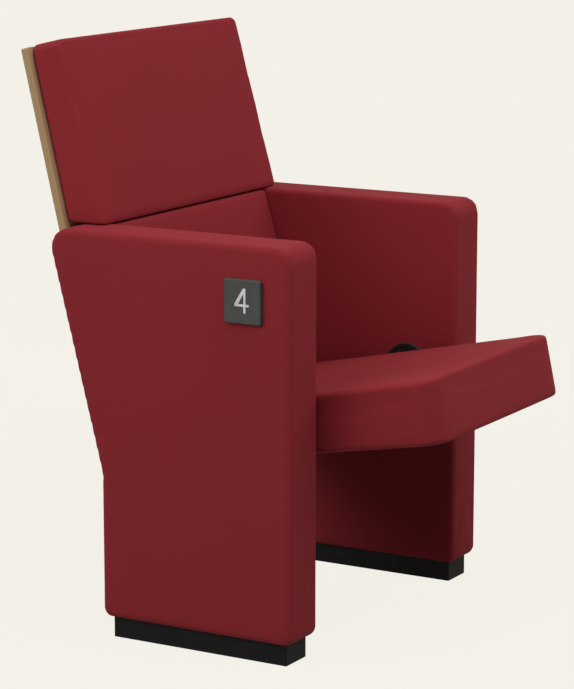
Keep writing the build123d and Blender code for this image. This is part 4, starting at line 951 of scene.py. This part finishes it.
def lacquered_ply():
    """Plywood under lacquer: veneer on its faces, the plies and glue lines on its edges."""
    made, tree, shader = new_material("lacquered_plywood")
    turn = recline - math.pi / 2
    place, facing = turned_place(tree, turn, Matrix.Rotation(turn, 3, "X") @ -BOARD_ORIGIN)
    depth = node(tree, "ShaderNodeSeparateXYZ", {0: place}).outputs[2]
    faces_out = math_node(tree, "ABSOLUTE", node(tree, "ShaderNodeSeparateXYZ", {0: facing}).outputs[2])
    veneer = place_group(tree, grain, {"Place": place})
    face = mixed(tree, veneer["Streaks"], seen(196, 166, 130), seen(180, 147, 110))
    face = mixed(tree, math_node(tree, "MULTIPLY", veneer["Pores"], 0.35), face, seen(140, 108, 76))
    count = math_node(tree, "MULTIPLY", depth, PLIES / BOARD_THICKNESS)
    parity = math_node(tree, "PINGPONG", math_node(tree, "FLOOR", count), 1.0)
    seam = math_node(tree, "PINGPONG", count, 0.5)
    glue = ranged(tree, seam, 0.0, 0.10, 0.55, 0.0)
    speckle = ranged(tree, noise(tree, place, FIBRES_PER_METRE, 3.0), 0.35, 0.65)
    end_grain = mixed(tree, speckle, seen(132, 103, 66), seen(166, 134, 92))
    long_grain = mixed(tree, veneer["Streaks"], seen(198, 165, 118), seen(180, 146, 99))
    layers = mixed(tree, parity, long_grain, end_grain)
    layers = mixed(tree, glue, layers, seen(92, 70, 48))
    colour = mixed(tree, ranged(tree, faces_out, 0.4, 0.6), layers, face)
    tree.links.new(colour, shader["Base Color"])
    tree.links.new(ranged(tree, veneer["Streaks"], 0.0, 1.0, 0.42, 0.55), shader["Roughness"])
    tree.links.new(bumped(tree, veneer["Pores"], -PORE_DEPTH), shader["Normal"])
    shader["Coat Weight"].default_value = 0.12
    shader["Coat Roughness"].default_value = 0.3
    return made


ply_finish = lacquered_ply()
print("plywood layers:", PLIES)

# %% [markdown]
# ## Finishes for the rigid pieces
#
# The rest keeps its solids. Each finish is the same recipe with its own numbers: a base tone that
# drifts a little, a fine skin for the bump and the roughness, wear on the edges that bares what is
# under the coat, and dust on top. The table below lists them for each material of the record. Gloss is
# the shader's specular level, 0.5 for plain plastic or lacquer. The plinths' powder coat is dead matt,
# or a white room would turn it grey.

# %% The table of rigid finishes
RIGID = {  # colour, bared colour, roughness, metallic, gloss, grains to a metre, their depth, wear, dust
    "frame_steel": ((40, 40, 41), (104, 102, 99), 0.52, 0.0, 0.4, 1400.0, 0.00006, 0.5, 0.10),
    "black_steel": ((26, 25, 26), (54, 52, 50), 0.70, 0.0, 0.10, 1300.0, 0.00008, 0.35, 0.03),
    "zinc_steel": ((168, 170, 168), (196, 196, 192), 0.34, 1.0, 0.5, 2200.0, 0.00002, 0.4, 0.05),
    "black_screws": ((26, 25, 26), (70, 68, 66), 0.60, 0.0, 0.12, 2600.0, 0.00002, 0.15, 0.02),
    "bright_steel": ((178, 178, 176), (206, 206, 204), 0.24, 1.0, 0.5, 3000.0, 0.00001, 0.3, 0.02),
    "housing_plastic": ((34, 37, 34), (66, 70, 64), 0.50, 0.0, 0.3, 1900.0, 0.00004, 0.5, 0.06),
    "bush_plastic": ((206, 203, 190), (222, 220, 210), 0.40, 0.0, 0.5, 2400.0, 0.00002, 0.2, 0.02),
    "buffer_rubber": ((32, 32, 32), (56, 55, 54), 0.85, 0.0, 0.3, 1200.0, 0.00008, 0.2, 0.15),
    "clip_plastic": ((226, 226, 218), (236, 236, 230), 0.42, 0.0, 0.5, 2400.0, 0.00002, 0.2, 0.02),
    "plate_plastic": ((60, 65, 62), (92, 95, 91), 0.44, 0.0, 0.4, 1800.0, 0.00003, 0.5, 0.06),
    "numeral_plastic": ((240, 240, 236), (246, 246, 243), 0.48, 0.0, 0.4, 2400.0, 0.00001, 0.2, 0.02),
    "foam": ((222, 210, 176), (232, 222, 190), 0.95, 0.0, 0.2, 1100.0, 0.00015, 0.0, 0.0),
}
EDGE_WIDTH = 1.0 * MM
DUST_COLOUR = seen(168, 162, 152)
DUST_ROUGHENS = 0.4                      # how much rougher full dust makes a face
ROUGH_SPREAD = 0.06                      # how far the fine skin takes the roughness up and down
DARKER, LIGHTER = 0.88, 1.07             # how far a base tone drifts


# %% Build them
def rigid_finish(name, colour, bared, roughness, metallic, gloss, grains, depth, wear, dusty):
    """A rigid piece's material, from its row of the table."""
    made, tree, shader = new_material(name)
    where = node(tree, "ShaderNodeTexCoord").outputs
    place, facing = where["Object"], where["Normal"]
    surface = place_group(tree, skin, {"Place": place, "Grains per metre": grains})
    edges = place_group(tree, worn, {"Place": place, "Edge width": EDGE_WIDTH, "Amount": wear})["Mask"]
    film = place_group(tree, dust, {"Place": place, "Facing": facing, "Amount": dusty})["Mask"]
    darker = seen(*[DARKER * channel for channel in colour])
    lighter = seen(*[min(255, LIGHTER * channel + 2) for channel in colour])
    tone = mixed(tree, surface["Tone"], darker, lighter)
    tone = mixed(tree, edges, tone, seen(*bared))
    tree.links.new(mixed(tree, film, tone, DUST_COLOUR), shader["Base Color"])
    smoothest, roughest = roughness - ROUGH_SPREAD, roughness + ROUGH_SPREAD
    rough = ranged(tree, surface["Height"], 0.3, 0.7, smoothest, roughest)
    tree.links.new(math_node(tree, "MULTIPLY_ADD", film, DUST_ROUGHENS, rough), shader["Roughness"])
    tree.links.new(bumped(tree, surface["Height"], depth), shader["Normal"])
    shader["Metallic"].default_value = metallic
    shader["Specular IOR Level"].default_value = gloss
    return made


finishes = {name: rigid_finish(name, *values) for name, values in RIGID.items()}
finishes["back_ply"] = ply_finish
print("rigid finishes:", len(RIGID))

# %% [markdown]
# The boards inside the panels, the seat and the cushions are raw birch plywood. Nobody sees them, but
# each still gets its wood, so that a cut or an exploded view looks right.


# %% The raw plywood and the cloths by slot
RAW_PORE_DEPTH = 0.1 * MM
ON_END = (math.radians(90.0), 0.0, 0.0)  # turns the grain upright


def raw_ply():
    """Bare birch plywood, its grain upright."""
    made, tree, shader = new_material("raw_plywood")
    where = node(tree, "ShaderNodeTexCoord").outputs["Object"]
    place = node(tree, "ShaderNodeMapping", {"Vector": where, "Rotation": ON_END}).outputs[0]
    veneer = place_group(tree, grain, {"Place": place})
    tone = mixed(tree, veneer["Streaks"], seen(214, 186, 148), seen(196, 164, 124))
    tone = mixed(tree, math_node(tree, "MULTIPLY", veneer["Pores"], 0.4), tone, seen(150, 118, 82))
    tree.links.new(tone, shader["Base Color"])
    tree.links.new(ranged(tree, veneer["Streaks"], 0.0, 1.0, 0.66, 0.8), shader["Roughness"])
    tree.links.new(bumped(tree, veneer["Pores"], -RAW_PORE_DEPTH), shader["Normal"])
    return made


finishes["inner_ply"] = raw_ply()
finishes["upholstery_cloth"] = side_cloth
finishes["underside_cloth"] = lining.data.materials[0]
used = {}
for name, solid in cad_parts.items():
    slot_name = solid.material_slots[0].material.name.split(".")[0]
    for slot in solid.material_slots:
        slot.material = finishes[slot_name]
    used.setdefault(slot_name, []).append(name)
print("finished solids:", sum(map(len, used.values())), "in", len(used), "finishes")

# %% [markdown]
# ## The two boxes
#
# The solids' box, taken before dressing, and the dressed seat's box are both printed. The dressed seat
# has to stay in the solids' box, apart from a little that cloth may stand proud.

# %% Print both boxes
visual_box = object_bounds()
sizes = {
    "cad": [list(cad_box[0]), list(cad_box[1])],
    "visual": [list(visual_box[0]), list(visual_box[1])],
}
for key, box in sizes.items():
    print(key, "box:", [[round(x, 4) for x in corner] for corner in box])
